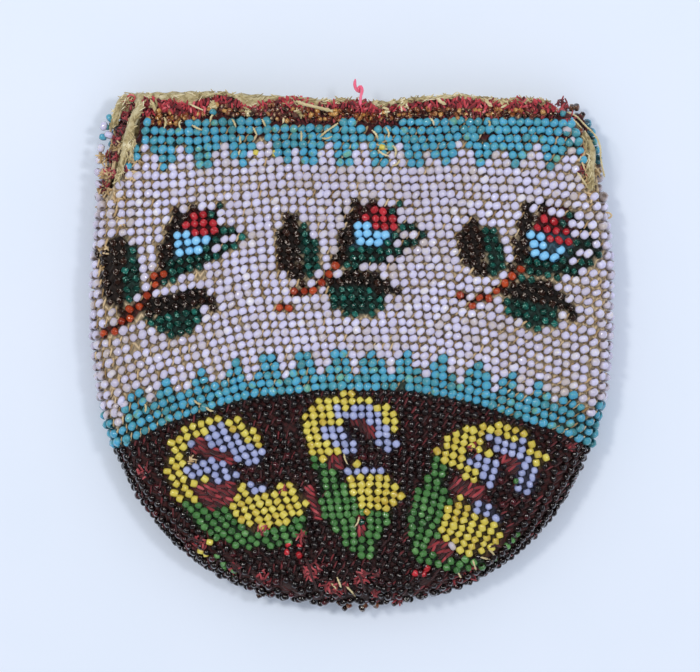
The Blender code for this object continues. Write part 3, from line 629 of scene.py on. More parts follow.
def string_beads(point, along, up, out, names):
    """One piece of beads for each field of the model, with every bead turned the way it is strung."""
    for node in sorted(name for name in set(names) if "bare" not in name):
        lot = lot_of(node, LOTS)
        chosen = names == node
        count = chosen.sum()
        turn = math.radians(lot["turn"]) + chance.normal(0, 0.2, count)
        lean = chance.normal(0, 0.18, count)
        a, u, o = along[chosen], up[chosen], out[chosen]
        bore = np.cos(turn)[:, None] * a - np.sin(turn)[:, None] * u
        bore = np.cos(lean)[:, None] * bore + np.sin(lean)[:, None] * o
        wide = unit(np.cross(o, bore))
        high = np.cross(bore, wide)
        across = lot["across"] * chance.normal(1, 0.07, count).clip(0.84, 1.12)[:, None]
        length = lot["long"] * chance.normal(1, 0.09, count).clip(0.78, 1.18)[:, None]
        centre = point[chosen] + o * (across / 2 - 0.1 + chance.normal(0, 0.07, count)[:, None])
        centre += a * chance.normal(0, 0.1, count)[:, None] + u * chance.normal(0, 0.08, count)[:, None]
        shape = BEADS["plain" if node.startswith("back") and lot["shape"] == "round" else lot["shape"]]
        piece = copies(node.replace("_beads", "") + "_strung", shape, centre,
                       np.stack([wide * across, high * across, bore * length], axis=2),
                       chance.triangular(0, 0.5, 1, count), GLASS[lot["glass"]],
                       smooth=lot["shape"] != "cut")
        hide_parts(*FIELD_NODES.get(node, (node,)))


def gap_threads(name, point, along, up, out, share, thickness, brightest, material):
    """The thread that shows as it goes from the bore of one bead up into the next, as one piece."""
    shown = chance.uniform(0, 1, len(point)) < share
    a, u, o = along[shown], up[shown], out[shown]
    count = len(a)
    slope = np.radians(chance.normal(56, 9, count))[:, None]
    ahead = np.cos(slope) * a + np.sin(slope) * u
    centre = point[shown] + a * COLUMN_PITCH / 2 + o * chance.uniform(0.7, 1.15, count)[:, None]
    copies(name, STRAND, centre, axes_along(ahead, thickness * chance.uniform(0.7, 1.3, count),
                                            np.full(count, 2.3)),
           chance.uniform(0, brightest, count), material)


def bare_stitches(point, along, up, out, names):
    """The slanted crimson stitches that lie open where beads are lost from the scrolls."""
    shown = np.char.endswith(names, "_bare")
    turns = np.select([np.char.startswith(names[shown], "left"),
                       np.char.startswith(names[shown], "middle")],
                      [-42.0, -68.0], 62.0)
    centres, axes, tones = [], [], []
    for shift in (-0.3, 0.3):
        count = shown.sum()
        slope = np.radians(turns + chance.normal(0, 13, count))[:, None]
        ahead = np.cos(slope) * along[shown] + np.sin(slope) * up[shown]
        beside = np.cross(out[shown], ahead)
        centres.append(point[shown] + beside * shift * 1.6 + out[shown] * chance.uniform(0.45, 0.8,
                                                                                         count)[:, None])
        axes.append(axes_along(ahead, chance.uniform(0.7, 0.95, count), chance.uniform(2.2, 3.0, count)))
        tones.append(chance.uniform(0, 1, count))
    copies("bare_stitches", STRAND, np.concatenate(centres), np.concatenate(axes), np.concatenate(tones),
           YARNS["crimson"])


def knitted_bag(name, lift, inset, top, across_steps, down_steps):
    """A bag of sheet, open at the mouth and slits, from two grids that are joined at the folds."""
    whole = bmesh.new()
    for side in (FRONT, BACK):
        form = bmesh.new()
        bmesh.ops.create_grid(form, x_segments=across_steps, y_segments=down_steps, size=1.0)
        shape = np.array([vert.co for vert in form.verts])
        share = np.sin(shape[:, 0] * math.pi / 2) * 0.25 + shape[:, 0] * 0.75
        rim = top + mouth_level(VIEW_MIDDLE + side * share * HALF_WIDTH / PIXEL, MOUTH_DIP)
        depth = rim + (LENGTH - 0.02 - rim) * (1 - shape[:, 1]) / 2
        left = reach(side, LEFT, depth) - np.where(depth < SLIT_DEPTH, inset, 0)
        right = reach(side, RIGHT, depth) - np.where(depth < SLIT_DEPTH, inset, 0)
        across = share * np.where(share < 0, left, right)
        point, _, _, out = surface(across, depth, side)
        rows = (depth - BARE_EDGE) / ROW_PITCH
        fields = colour_fields(np.where(rows < UPPER_TEETH_START, 0, rows), point[:, 0] / COLUMN_PITCH,
                               np.full(len(rows), side))
        # Each stitch takes its field's yarn colour, which holds painted shade under dense and dark beads
        dye_and_shade_layer = form.verts.layers.float_color.new("yarn")
        chart = form.loops.layers.uv.new("chart")
        for vert, place, field in zip(form.verts, (point + out * lift) * MM, fields):
            vert.co = place
            vert[dye_and_shade_layer] = linear(lot_of(field, YARN_DYES_AND_SHADE))
        form.verts.ensure_lookup_table()
        for face in form.faces:
            for loop in face.loops:
                index = loop.vert.index
                loop[chart].uv = (side * across[index] / COLUMN_PITCH / 100,
                                  (depth[index] - BARE_EDGE) / ROW_PITCH / 100)
        half = bpy.data.meshes.new(name)
        form.to_mesh(half)
        form.free()
        whole.from_mesh(half)
        bpy.data.meshes.remove(half)
    bmesh.ops.remove_doubles(whole, verts=whole.verts, dist=0.00002)
    mesh = finished(whole, name)
    mesh.shade_smooth()
    return mesh


def sheet_bag(name, node, material, slot, thickness, **sizes):
    """A bag of cloth with its wall, in place of the model's."""
    piece = placed(name, knitted_bag(name, **sizes), material)
    wall = piece.modifiers.new("thickness", "SOLIDIFY")
    wall.thickness = thickness * MM
    wall.offset = -1.0
    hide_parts(node)
    return piece


def mouth_level(x, levels):
    """Row of the view where a band of the mouth runs at each column of the view."""
    return np.interp(x, MOUTH_MARKS, levels)


def mouth_cluster(top, bottom, spacing, start, end):
    """Staggered places, a little out of line, between two levels of the mouth."""
    places = []
    for count, y in enumerate(np.arange(min(top), max(bottom), spacing * 0.85)):
        x = np.arange(start + (count % 2) * spacing / 2, end, spacing)
        places.append(np.column_stack([x, np.full(len(x), y)]))
    places = np.vstack(places)
    places += chance.normal(0, spacing * 0.16, places.shape)
    kept = (places[:, 1] > mouth_level(places[:, 0], top)) & (places[:, 1] < mouth_level(places[:, 0],
                                                                                         bottom))
    return places[kept]


def mouth_edge():
    """The worn edge of the mouth: ends of crimson yarn, and the small brown and amber beads among them."""
    places = mouth_cluster(CRIMSON_TOP, CRIMSON_BOTTOM, 2.9, 142, 558)
    count = len(places)
    centre = seen_at(np.column_stack([places, chance.uniform(0.5, 1.9, count)]))
    headings = np.where(chance.uniform(0, 1, count) < 0.5, 1.1, 2.0)
    copies("mouth_yarn", STRAND, centre, strewn(count, 0.62, 1.5, headings, 0.7),
           chance.uniform(0, 1, count), YARNS["bright_crimson"])
    places = mouth_cluster(BROWN_TOP, BROWN_BOTTOM, 3.6, 147, 556)
    count = len(places)
    centre = seen_at(np.column_stack([places, chance.uniform(0.5, 1.3, count)]))
    copies("mouth_stitches", STRAND, centre, strewn(count, 0.6, 1.7, 1.4, 0.8), chance.uniform(0, 1, count),
           YARNS["crimson"])
    places = mouth_cluster(BROWN_TOP, BROWN_BOTTOM, 5.2, 147, 556)
    count = len(places)
    centre = seen_at(np.column_stack([places, chance.uniform(1.1, 1.8, count)]))
    piece = copies("front_brown_strung", BEADS["cut"], centre, strewn(count, 1.3, 1.15),
                   chance.uniform(0, 1, count), GLASS["brown"], smooth=False)
    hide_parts("front_brown_beads")


def mouth_tape(name, node, side, drop):
    """The cream tape over one wall of the mouth, from inside over the edge and down in uneven scallops."""
    steps = 260
    form = bmesh.new()
    bmesh.ops.create_grid(form, x_segments=steps, y_segments=8, size=1.0)
    shape = np.array([vert.co for vert in form.verts])
    pixel = MOUTH_MARKS[0] + (MOUTH_MARKS[-1] - MOUTH_MARKS[0]) * (shape[:, 0] + 1) / 2
    x = (pixel - VIEW_MIDDLE) * PIXEL
    crest = MOUTH_Y + (VIEW_MOUTH - mouth_level(pixel, TAPE_TOP)) * PIXEL - drop
    hem = MOUTH_Y + (VIEW_MOUTH - mouth_level(pixel, TAPE_BOTTOM)) * PIXEL - drop * 2
    inner = crest - 3.0
    down = shape[:, 1]
    y = np.where(down > 0, crest + (hem - crest) * down, crest - (inner - crest) * down)
    round_edge = np.sqrt(np.clip(1 - (1 - np.minimum(np.abs(down) * 2.2, 1)) ** 2, 0, 1))
    wall = 1.0 + 0.35 * np.sin(pixel / 4.1) * (down > 0)
    lift = np.where(down > 0, round_edge * wall, -round_edge * 1.3)
    y += 0.16 * np.sin(pixel / 2.7 + down * 3)
    mouth_line = height(x, np.full(len(x), MOUTH_Y - 1.0))
    middle = mouth_line if side == FRONT else 2 * MIDDLE - mouth_line
    for vert, place in zip(form.verts, under_view(np.column_stack([x, y, middle + side * lift])) * MM):
        vert.co = place
    mesh = finished(form, name)
    mesh.shade_smooth()
    piece = placed(name, mesh, CLOTHS["tape"])
    wall = piece.modifiers.new("thickness", "SOLIDIFY")
    wall.thickness = 0.3 * MM
    wall.offset = 0.0
    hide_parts(node)


def frayed_yarn(name, spots, width, length, material, lift=(0.6, 1.9)):
    """Tufts of frayed yarn, each spot as pixels across and down, its radius and its count of ends."""
    places = []
    for x, y, radius, count in spots:
        turn = chance.uniform(0, math.tau, count)
        away = radius * np.sqrt(chance.uniform(0, 1, count))
        places.append(np.column_stack([x + away * np.cos(turn), y + away * np.sin(turn)]))
    places = np.vstack(places)
    count = len(places)
    centre = seen_at(np.column_stack([places, chance.uniform(*lift, count)]))
    copies(name, STRAND, centre, strewn(count, width, length), chance.uniform(0, 1, count), material)


def tape_fibres(name, routes, count, lift, material):
    """Threads worked loose along tape: each route as pixels across and down, and half its width in pixels."""
    centres, headings = [], []
    for route in routes:
        route = np.array(route, dtype=float)
        runs = np.hypot(*np.diff(route[:, :2], axis=0).T)
        marks = np.concatenate([[0], np.cumsum(runs)])
        spots = chance.uniform(0, marks[-1], round(count * marks[-1] / 100))
        x, y, half = (np.interp(spots, marks, route[:, i]) for i in range(3))
        bend = np.searchsorted(marks, spots).clip(1, len(runs)) - 1
        run = np.diff(route[:, :2], axis=0)[bend]
        away = chance.uniform(-1, 1, len(spots)) * half
        length = np.hypot(*run.T)
        x, y = x - run[:, 1] / length * away, y + run[:, 0] / length * away
        centres.append(seen_at(np.column_stack([x, y, lift + chance.uniform(-0.2, 0.5, len(spots))])))
        headings.append(np.arctan2(-run[:, 1], run[:, 0]))
    centres, headings = np.vstack(centres), np.concatenate(headings)
    copies(name, STRAND, centres, strewn(len(centres), 0.3, 1.7, headings, 0.95),
           chance.uniform(0, 1, len(centres)), material)


def stray_beads():
    """Beads that hang by a thread at the edges and the mouth, or come round from the back."""
    for lot_name, places in STRAYS.items():
        lot = LOTS[lot_name]
        places = np.array([(*place, 1.0)[:3] for place in places], dtype=float)
        count = len(places)
        centre = seen_at(places)
        copies(f"stray_{lot_name}_beads", BEADS[lot["shape"]], centre,
               strewn(count, lot["across"] * 0.9, lot["long"] * 0.9), chance.uniform(0, 1, count),
               GLASS[lot["glass"]], smooth=lot["shape"] != "cut")

# Outlines of the ornaments on the chart, as (column, row) from the ornament's own middle column
SPRIGS = {
    "left": {
        "leaf_dark": ((-5.7, 15.6), (-5.3, 17.2), (-5.6, 23.4), (-5.9, 24.6), (-7.4, 23.6),
            (-8.4, 21.9), (-8.6, 17.8), (-7.4, 16.4)),
        "leaf_teal": ((-5.7, 16.3), (-4.1, 17.7), (-3.7, 22.9), (-5, 23.9), (-5.7, 23.4)),
        "sepal": ((1.5, 12.4), (2.5, 14), (1.2, 15.2), (0.4, 17.3), (-0.5, 19.4), (-1.5, 20.5),
            (-1.9, 19.7), (-1.7, 18.1), (-1, 16.7), (-0.3, 14.3)),
        "bud_red": ((1.6, 13.5), (4.8, 13.7), (5.3, 15.6), (4.6, 17.3), (0.7, 16.9), (1.1, 15.2)),
        "bud_blue": ((0.4, 16.8), (4.1, 17.3), (3.6, 20.2), (-0.4, 19.7)),
        "calyx": ((3.5, 14.4), (4.5, 14.1), (5.6, 16.2), (7.6, 17), (7.3, 18.3), (5.6, 19.7),
            (3.1, 21.1), (-0.1, 22.1), (-1.7, 22.9), (-1.9, 21.4), (-1.5, 20), (-0.3, 19.7),
            (3, 18.9), (3.8, 17.5), (4.5, 16.8)),
        "stem": ((-2.1, 20.4), (-1, 21.3), (-1.9, 22.8), (-2.9, 24.4), (-4.3, 25.8), (-6, 26.6),
            (-8.2, 27.1), (-8.6, 26), (-6.7, 25.4), (-5.2, 24.4), (-4, 23.3), (-3.1, 21.9)),
        "low_leaf_dark": ((-3.7, 25.1), (-2.8, 24), (-1.2, 23.7), (1.5, 23.3), (3.3, 23.5),
            (3.8, 24.8), (5.2, 26.3), (4.3, 26.9), (2.7, 25.8), (0.4, 26.4), (-2.8, 25.9)),
        "low_leaf_teal": ((-4.1, 25.8), (-1.9, 26.1), (1.1, 26.3), (3.3, 25.9), (3.3, 27.8),
            (1.7, 28.9), (-0.2, 29.1), (-2.1, 27.7)),
    },
    "middle": {
        "leaf_dark": ((-7.3, 14.9), (-6.4, 15), (-6.2, 17.2), (-6, 21.5), (-5.5, 24.5),
            (-7.1, 23.6), (-8.7, 21.6), (-8.8, 18.4), (-7.8, 16.5)),
        "leaf_teal": ((-6.4, 16.3), (-5.5, 16.6), (-4.3, 17.8), (-3.7, 19.7), (-3.8, 22.7),
            (-5, 23.9), (-5.8, 22.6), (-6, 18.5)),
        "sepal": ((-0.8, 13.4), (1.4, 13.6), (1.1, 14.7), (0, 14.8), (0.2, 17.6), (-0.1, 20.3),
            (-0.7, 22), (-1.8, 22.5), (-2.4, 21.1), (-1.7, 19.2), (-1.6, 15.8), (-1.1, 14.4)),
        "bud_red": ((0.9, 13.6), (3.7, 13.3), (5.5, 14.3), (5.6, 16), (5, 17.3), (0.6, 17.4),
            (0.5, 15.1)),
        "bud_blue": ((0.1, 17.2), (4.9, 17.1), (4.7, 19.4), (3.9, 19.7), (-0.2, 19.9), (0.1, 18.4)),
        "calyx": ((-0.7, 19.9), (3.7, 19.6), (4.6, 18.7), (5.5, 17.5), (5.9, 15.7), (6.8, 15.6),
            (7.3, 16.7), (8.7, 17.3), (7.8, 18.4), (6.6, 19.6), (5.9, 21.5), (3.9, 22.6),
            (0, 22.8), (-0.9, 21.7)),
        "stem": ((-2.5, 21.4), (-1.5, 21.8), (-2.4, 23.6), (-3.9, 25.4), (-5.5, 26.4),
            (-7.8, 27.7), (-8.6, 27.4), (-6.8, 25.5), (-5.2, 25.1), (-3.7, 23.5)),
        "low_leaf_dark": ((-3.2, 25.5), (-2.5, 23.8), (-0.2, 22.9), (2.3, 23), (4.1, 23.8),
            (5.7, 25.5), (5.5, 26.6), (3.7, 25.7), (0.5, 25.2), (-2.3, 25.8)),
        "low_leaf_teal": ((-3.5, 25.7), (-2.1, 25.2), (0.9, 25.2), (3.9, 25.7), (4.1, 27.1),
            (2.3, 28.8), (-0.9, 28.8), (-2.7, 27.4)),
    },
    "right": {
        "leaf_dark": ((-7.1, 14.3), (-6.1, 15), (-4.9, 17.1), (-5.1, 20.7), (-4.5, 23),
            (-6.3, 22.4), (-8, 20.5), (-8.1, 17.9), (-7.2, 16.5)),
        "leaf_teal": ((-5.2, 16.3), (-3.8, 16.7), (-2.8, 18.1), (-2.7, 21.1), (-4.3, 22.6),
            (-4.9, 20.7)),
        "sepal": ((-0.1, 12.3), (2.8, 12.1), (2.8, 13.1), (1, 13.5), (0.1, 15.8), (0.3, 18),
            (-0.8, 20.6), (-2.2, 20.6), (-1.7, 18.8), (-1.1, 17.2), (-1.3, 15.4)),
        "bud_red": ((1.1, 14.2), (2, 13), (4.4, 12.8), (5, 14.5), (5.8, 15.6), (5.4, 16.9),
            (0.8, 17.6), (0.5, 15.8)),
        "bud_blue": ((0.3, 16.5), (5.1, 15.9), (5, 17.8), (4.4, 19.1), (0.2, 19.7)),
        "calyx": ((-0.8, 18.6), (4.4, 18.6), (5.3, 17.3), (5.8, 15.1), (4.4, 14.4), (4.2, 13.3),
            (5.8, 13.5), (7.2, 15.4), (8.6, 16.8), (7.2, 18.9), (5.6, 20.9), (2.4, 21.3),
            (-0.6, 21.8)),
        "stem": ((-1.7, 20.9), (-0.7, 21.6), (-2.2, 23.1), (-3.8, 24.7), (-6.1, 26.2),
            (-8.4, 26.5), (-8.4, 25.3), (-6.3, 25), (-4.5, 23.7), (-2.9, 22.2)),
        "low_leaf_dark": ((-3.1, 24.5), (-2.2, 23.3), (-0.6, 22.3), (2.4, 21.8), (4, 23.1),
            (4.9, 24), (6, 25.1), (5.1, 25.8), (3.7, 25), (0.8, 24.9), (-1.3, 24.9)),
        "low_leaf_teal": ((-3.3, 25.3), (-1.7, 24.6), (0.8, 24.7), (3.5, 24.6), (3.5, 26.2),
            (1.9, 27.5), (-0.1, 28), (-2, 27.2)),
    },
}
# The bud of every sprig as (stitch, row), one chart that is knitted three times
BUD_CHART = {
    "bud_red": ((-0.5, 0.5), (1.5, 0.5), (1.5, 1.5), (2.5, 1.5), (2.5, 3.5), (-0.5, 3.5), (-0.5, 2.5),
                (-1.5, 2.5), (-1.5, 1.5), (-0.5, 1.5)),
    "bud_blue": ((-2.5, 2.5), (-0.5, 2.5), (-0.5, 3.5), (1.5, 3.5), (1.5, 4.5), (0.5, 4.5), (0.5, 5.5),
                 (-2.5, 5.5)),
    "calyx": ((-3.5, 5.5), (2.5, 5.5), (2.5, 6.5), (0.5, 6.5), (0.5, 7.5), (-2.5, 7.5), (-2.5, 8.5),
              (-4.5, 8.5), (-4.5, 7.5), (-3.5, 7.5)),
    "calyx_side": ((1.5, 3.5), (2.5, 3.5), (2.5, 4.5), (1.5, 4.5), (1.5, 5.5), (0.5, 5.5), (0.5, 4.5),
                   (1.5, 4.5)),
    "calyx_tip": ((2.5, 2.5), (4.5, 2.5), (4.5, 3.5), (5.5, 3.5), (5.5, 4.5), (4.5, 4.5), (4.5, 5.5),
                  (2.5, 5.5), (2.5, 4.5), (4.5, 4.5), (4.5, 3.5), (2.5, 3.5)),
    "calyx_point": ((1.5, 0.5), (2.5, 0.5), (2.5, -0.5), (3.5, -0.5), (3.5, 0.5), (2.5, 0.5), (2.5, 1.5),
                    (1.5, 1.5)),
    "sepal": ((-2.5, -0.5), (-1.5, -0.5), (-1.5, 0.5), (-0.5, 0.5), (-0.5, 1.5), (-1.5, 1.5), (-1.5, 2.5),
              (-2.5, 2.5),
              (-2.5, 5.5), (-3.5, 5.5), (-3.5, 7.5), (-5.5, 7.5), (-5.5, 6.5), (-4.5, 6.5), (-4.5, 3.5),
              (-3.5, 3.5), (-3.5, 1.5), (-2.5, 1.5)),
    "sepal_tip": ((-0.5, -0.5), (0.5, -0.5), (0.5, 0.5), (-0.5, 0.5)),
}
BUD_PLACES = {"left": (189.4, 243.4), "middle": (366.9, 234.2), "right": (545.2, 242.3)}
BUD_BEAD = (-1, 4)
SCROLLS = {
    "left": {
        "arm": ((7, 45.9), (7.2, 44.7), (6.1, 42.5), (4.5, 41.2), (1.8, 40.1), (-0.5, 39.9),
            (-2.2, 40.5), (-3.1, 41.7), (-3.5, 43.2), (-3.5, 45), (-2.8, 47), (-1.7, 48.6),
            (-0.3, 50), (0.6, 49.6), (-0.8, 48.1), (-1.4, 46.7), (1.5, 48.4), (1.6, 47.2),
            (0.2, 46.3), (-1.1, 45.8), (-1.2, 43.7), (-1, 42.6), (-0.3, 41.9), (1.2, 42.6),
            (1, 41.5), (2.7, 41.3), (3.8, 42.5), (4.3, 43.3), (5.6, 44.2), (5.9, 45.3)),
        "lilac_upper": ((-0.3, 41.8), (1, 42.4), (1, 41.5), (2.7, 41.3), (3.8, 42.5), (4.5, 43.4),
            (5.7, 44.3), (6.1, 45.1), (7.7, 45.6), (7.5, 47.6), (6.1, 47.6), (4.7, 46.5),
            (4.1, 45), (2.9, 44.5), (1.5, 44), (0.8, 43.2), (-0.3, 43.2), (-1, 42.6)),
        "lilac_lower": ((-1.2, 44.3), (0.4, 44.7), (2.4, 45.4), (3.8, 46.6), (4.4, 47.9),
            (4.4, 49.1), (1.5, 48.1), (1.5, 47.2), (-0.1, 46.8), (-1.2, 45.7)),
        "lilac_row": ((4.3, 50.1), (6.1, 50.1), (7.9, 50.2), (8.1, 51.5), (6.5, 51.5), (4.7, 51.5)),
        "bead": ((4.5, 49.1), (5.6, 49.5), (5.6, 50.8), (4.7, 50.5)),
        "lobe": ((2.9, 51.1), (3.9, 50.8), (5.4, 51), (7.2, 51.2), (8.5, 51.1), (9.1, 51.2),
            (9.7, 50.7), (10.8, 51), (11.6, 52.2), (12.5, 53.6), (12.5, 55.4), (11.2, 55.9),
            (9.4, 56), (7.9, 56.2), (6.1, 56), (5.3, 54.9), (4.3, 53.4), (3.4, 52.2)),
        "foot": ((-1.8, 48.2), (-0.3, 49.4), (0.7, 50.2), (2, 50.9), (3.1, 51.6), (3.8, 52.6),
            (4.7, 54), (5.6, 55.3), (6.3, 56.2), (7.2, 57), (8.7, 56.7), (10.4, 56), (11.9, 55.4),
            (12.7, 56.4), (12.1, 57.9), (11.3, 58.8), (9.6, 59), (8.1, 59), (6.5, 58), (4.7, 57.7),
            (3.4, 56.2), (1.8, 54.9), (0.5, 53.4), (-0.5, 51.6), (-1.6, 49.8)),
        "bare_1": ((0.2, 42.3), (1.1, 42.4), (1.9, 43.8), (3.1, 44.5), (4.5, 46.2), (5.1, 46.9),
            (4.3, 46.9), (1.8, 44.7), (-0.1, 44.2), (-1, 43.1)),
        "bare_2": ((-0.5, 47.3), (1.5, 48.1), (4.1, 49), (4.8, 50.2), (4, 51.1), (2.9, 51.2),
            (1.5, 51.1), (0.5, 50.1), (-0.4, 48.7)),
        "bare_3": ((11.9, 52), (13.3, 52), (13.5, 53.4), (14.3, 55.2), (14.5, 56.5), (12.6, 55.4)),
    },
    "middle": {
        "arm": ((4.5, 46.1), (5, 44.1), (4.8, 42.5), (4, 41.2), (3, 40.9), (2.2, 39.7),
            (0.6, 39.6), (-1.4, 39.2), (-2.5, 39.9), (-3.5, 39.9), (-4.6, 41.1), (-5.4, 42.4),
            (-5.9, 44), (-5.5, 45.4), (-4.9, 46.8), (-4.5, 48), (-3.4, 48.7), (-2.4, 48.5),
            (-2.4, 47.5), (-1.3, 47.5), (-1.8, 45.8), (-2.6, 45), (-3.4, 44), (-2.5, 44.1),
            (-0.9, 43.8), (-0.9, 42.5), (-2.1, 41.8), (-0.7, 41.8), (0.3, 41.6), (0.5, 40.9),
            (1.9, 41), (2.2, 42.1), (3.1, 42.4), (3.2, 43.8), (3.9, 44.3), (4, 46)),
        "lilac_upper": ((-2.3, 41.1), (-1.1, 41.6), (0, 41.8), (0.2, 40.9), (2.1, 40.8),
            (2.2, 42.2), (3.1, 42.3), (3.2, 43.4), (4, 43.7), (4.1, 45.5), (5.1, 45.7), (5, 47),
            (4.1, 47.6), (3.2, 47.5), (3.2, 46.5), (2.2, 46.6), (2.2, 43.4), (1.3, 43.3),
            (-0.5, 42.9), (-1.4, 42.6), (-2.3, 42.3)),
        "lilac_lower": ((-3.4, 43.6), (-2.2, 44), (-1, 44.2), (-0.1, 44.9), (0, 45.8), (0.8, 46.2),
            (0.6, 47.3), (-0.3, 48), (-1.3, 47.9), (-1.3, 46.8), (-1.9, 46.2), (-3, 45.6)),
        "lilac_row": ((-1, 49.8), (3.7, 49.7), (3.8, 51.1), (-1, 51)),
        "bead": ((-0.3, 48.6), (0.9, 48.6), (0.9, 49.9), (-0.3, 49.9)),
        "lobe": ((-0.9, 51.2), (0.5, 50.8), (3.9, 50.7), (5.1, 51.2), (5.7, 52.1), (5.6, 53.5),
            (5.1, 54.7), (4.3, 55.5), (0.5, 55.8), (0.2, 54.6), (-0.1, 53.2), (-0.7, 52.4)),
        "foot": ((-4.6, 47.8), (-3.5, 48.4), (-3, 49.5), (-1.4, 49.6), (-1.3, 51.3), (-0.5, 52.4),
            (0.2, 53.4), (0.3, 54.7), (0.7, 55.8), (1.8, 55.9), (2.5, 55.3), (4.3, 55.1),
            (3.9, 57.1), (3.7, 58.7), (2.5, 60), (3, 61.3), (1.4, 62), (0, 60.9), (-1.1, 59.5),
            (-2.3, 57.5), (-3.2, 55.8), (-3.5, 53.8), (-3.8, 51.6), (-4.2, 49.7)),
        "bare_1": ((-2.5, 47.1), (-1.1, 47.7), (-0.9, 49.9), (-2.5, 49.7), (-3, 48.7)),
        "bare_2": ((-0.2, 43.1), (1.4, 43.2), (2.2, 44.4), (2.2, 46.2), (1.5, 44.7), (0, 43.9)),
        "bare_3": ((0.9, 56), (1.6, 55.9), (1.6, 58.9), (0.5, 58.9), (0, 57.6)),
    },
    "right": {
        "arm": ((3.5, 44.3), (4.2, 43.5), (4.6, 42.4), (3.7, 41.7), (2.9, 41.1), (2.6, 39.8),
            (1, 39.5), (-0.6, 40.1), (-2.4, 40.7), (-3.1, 41.7), (-4.9, 42.3), (-6.3, 43.4),
            (-7, 44.4), (-8, 45.7), (-8.8, 46.9), (-8.8, 48.5), (-8.1, 49.4), (-7.2, 49.6),
            (-6.1, 48.8), (-6.8, 48.2), (-5.7, 47.6), (-4.5, 48.7), (-2.2, 47.8), (-2.4, 46.8),
            (-4, 47), (-4.9, 46.8), (-4.7, 45.5), (-3.8, 44.4), (-2.9, 44.8), (-1.8, 44.4),
            (-2.2, 43.1), (-2, 41.8), (-0.8, 41.7), (0.3, 42.2), (1.7, 41.1), (2.1, 42.1),
            (2.8, 42.5), (3.3, 43.5)),
        "lilac_upper": ((-2.1, 42.3), (-1, 41.7), (0.3, 42.2), (1.2, 41), (2.4, 41.3), (2.1, 42.3),
            (2.8, 42.5), (3.2, 43.6), (3.5, 44.3), (3.3, 45.8), (3.2, 47), (1.1, 48.3),
            (0.8, 47.5), (1.7, 46.3), (0.8, 46.3), (0.9, 45), (1, 44), (0.3, 43.8), (-0.6, 43.7),
            (-1.5, 43.7)),
        "lilac_lower": ((-4.8, 45.6), (-3.6, 45.1), (-2.4, 45.2), (-1.3, 45.2), (-0.8, 46.3),
            (-1.1, 47.8), (-1.8, 48.9), (-2.4, 47.9), (-3.1, 47.2), (-4.5, 47.2), (-4.9, 46.3)),
        "lilac_row": ((-4.5, 51.5), (-2.7, 50.5), (-1.5, 50.7), (-0.6, 51.5), (-0.6, 52.7),
            (-1.8, 52.8), (-2.7, 52.2), (-4.3, 52.6)),
        "lobe": ((-6.3, 51.4), (-5.2, 50.8), (-4.3, 51.9), (-2.9, 52.2), (-1.3, 52.4),
            (-0.4, 53.1), (-0.8, 55.2), (-2.4, 57.6), (-4.9, 58.1), (-7.5, 56.8), (-7.7, 55.3),
            (-7, 53.2)),
        "foot": ((-8.4, 46.9), (-7, 47.5), (-6.9, 49.5), (-6.8, 50.8), (-5.9, 51.3), (-6.8, 53.1),
            (-7.5, 55.2), (-7.5, 56.8), (-8.6, 57.7), (-8.8, 59.4), (-7.5, 59.9), (-4.9, 58.8),
            (-2.4, 57.6), (-2.4, 58.8), (-6.3, 61.2), (-9.3, 61.4), (-10.7, 60.2), (-11.3, 57.7),
            (-11.3, 55.3), (-10.7, 53.2), (-9.5, 51.1), (-8.8, 49)),
        "bare_1": ((-6.1, 48.9), (-4.7, 48.8), (-2.4, 48.7), (-2.4, 50.4), (-3.8, 51.2),
            (-5.4, 50.8), (-6.8, 50.3)),
        "bare_2": ((-0.3, 43.8), (1, 44), (1, 45.7), (0.1, 45.9)),
        "bare_3": ((-8.6, 57.7), (-7, 56.9), (-6.3, 58.4), (-7.2, 59.8), (-8.6, 59.6)),
    },
}

# What each part of an ornament's chart is called in the model, where that differs
CHART_NODES = {
    "lilac_upper": "lilac", "lilac_lower": "lilac", "lilac_row": "lilac", "bead": "arm",
    "calyx_side": "calyx", "calyx_tip": "calyx", "calyx_point": "calyx", "sepal_tip": "sepal",
}

# Colour of the yarn or thread that lies under the beads of each field: its dye, with painted shade making it
# darker under dense and dark beads
YARN_DYES_AND_SHADE = {
    "brown": "#5a1a1c", "turquoise": "#3d5248", "white": "#d8c09a", "garnet": "#43100f",
    "low_leaf_dark": "#1c120c",
    "leaf_dark": "#24150d", "leaf_teal": "#14362e", "low_leaf_teal": "#14362e", "sepal": "#24150d",
    "bud_red": "#551216", "bud_blue": "#3a5a6a", "calyx": "#12221a", "stem": "#4a1810", "arm": "#55421c",
    "lilac": "#34344a", "lobe": "#55421c", "foot": "#1c3a1a", "bare": "#5a121c",
}

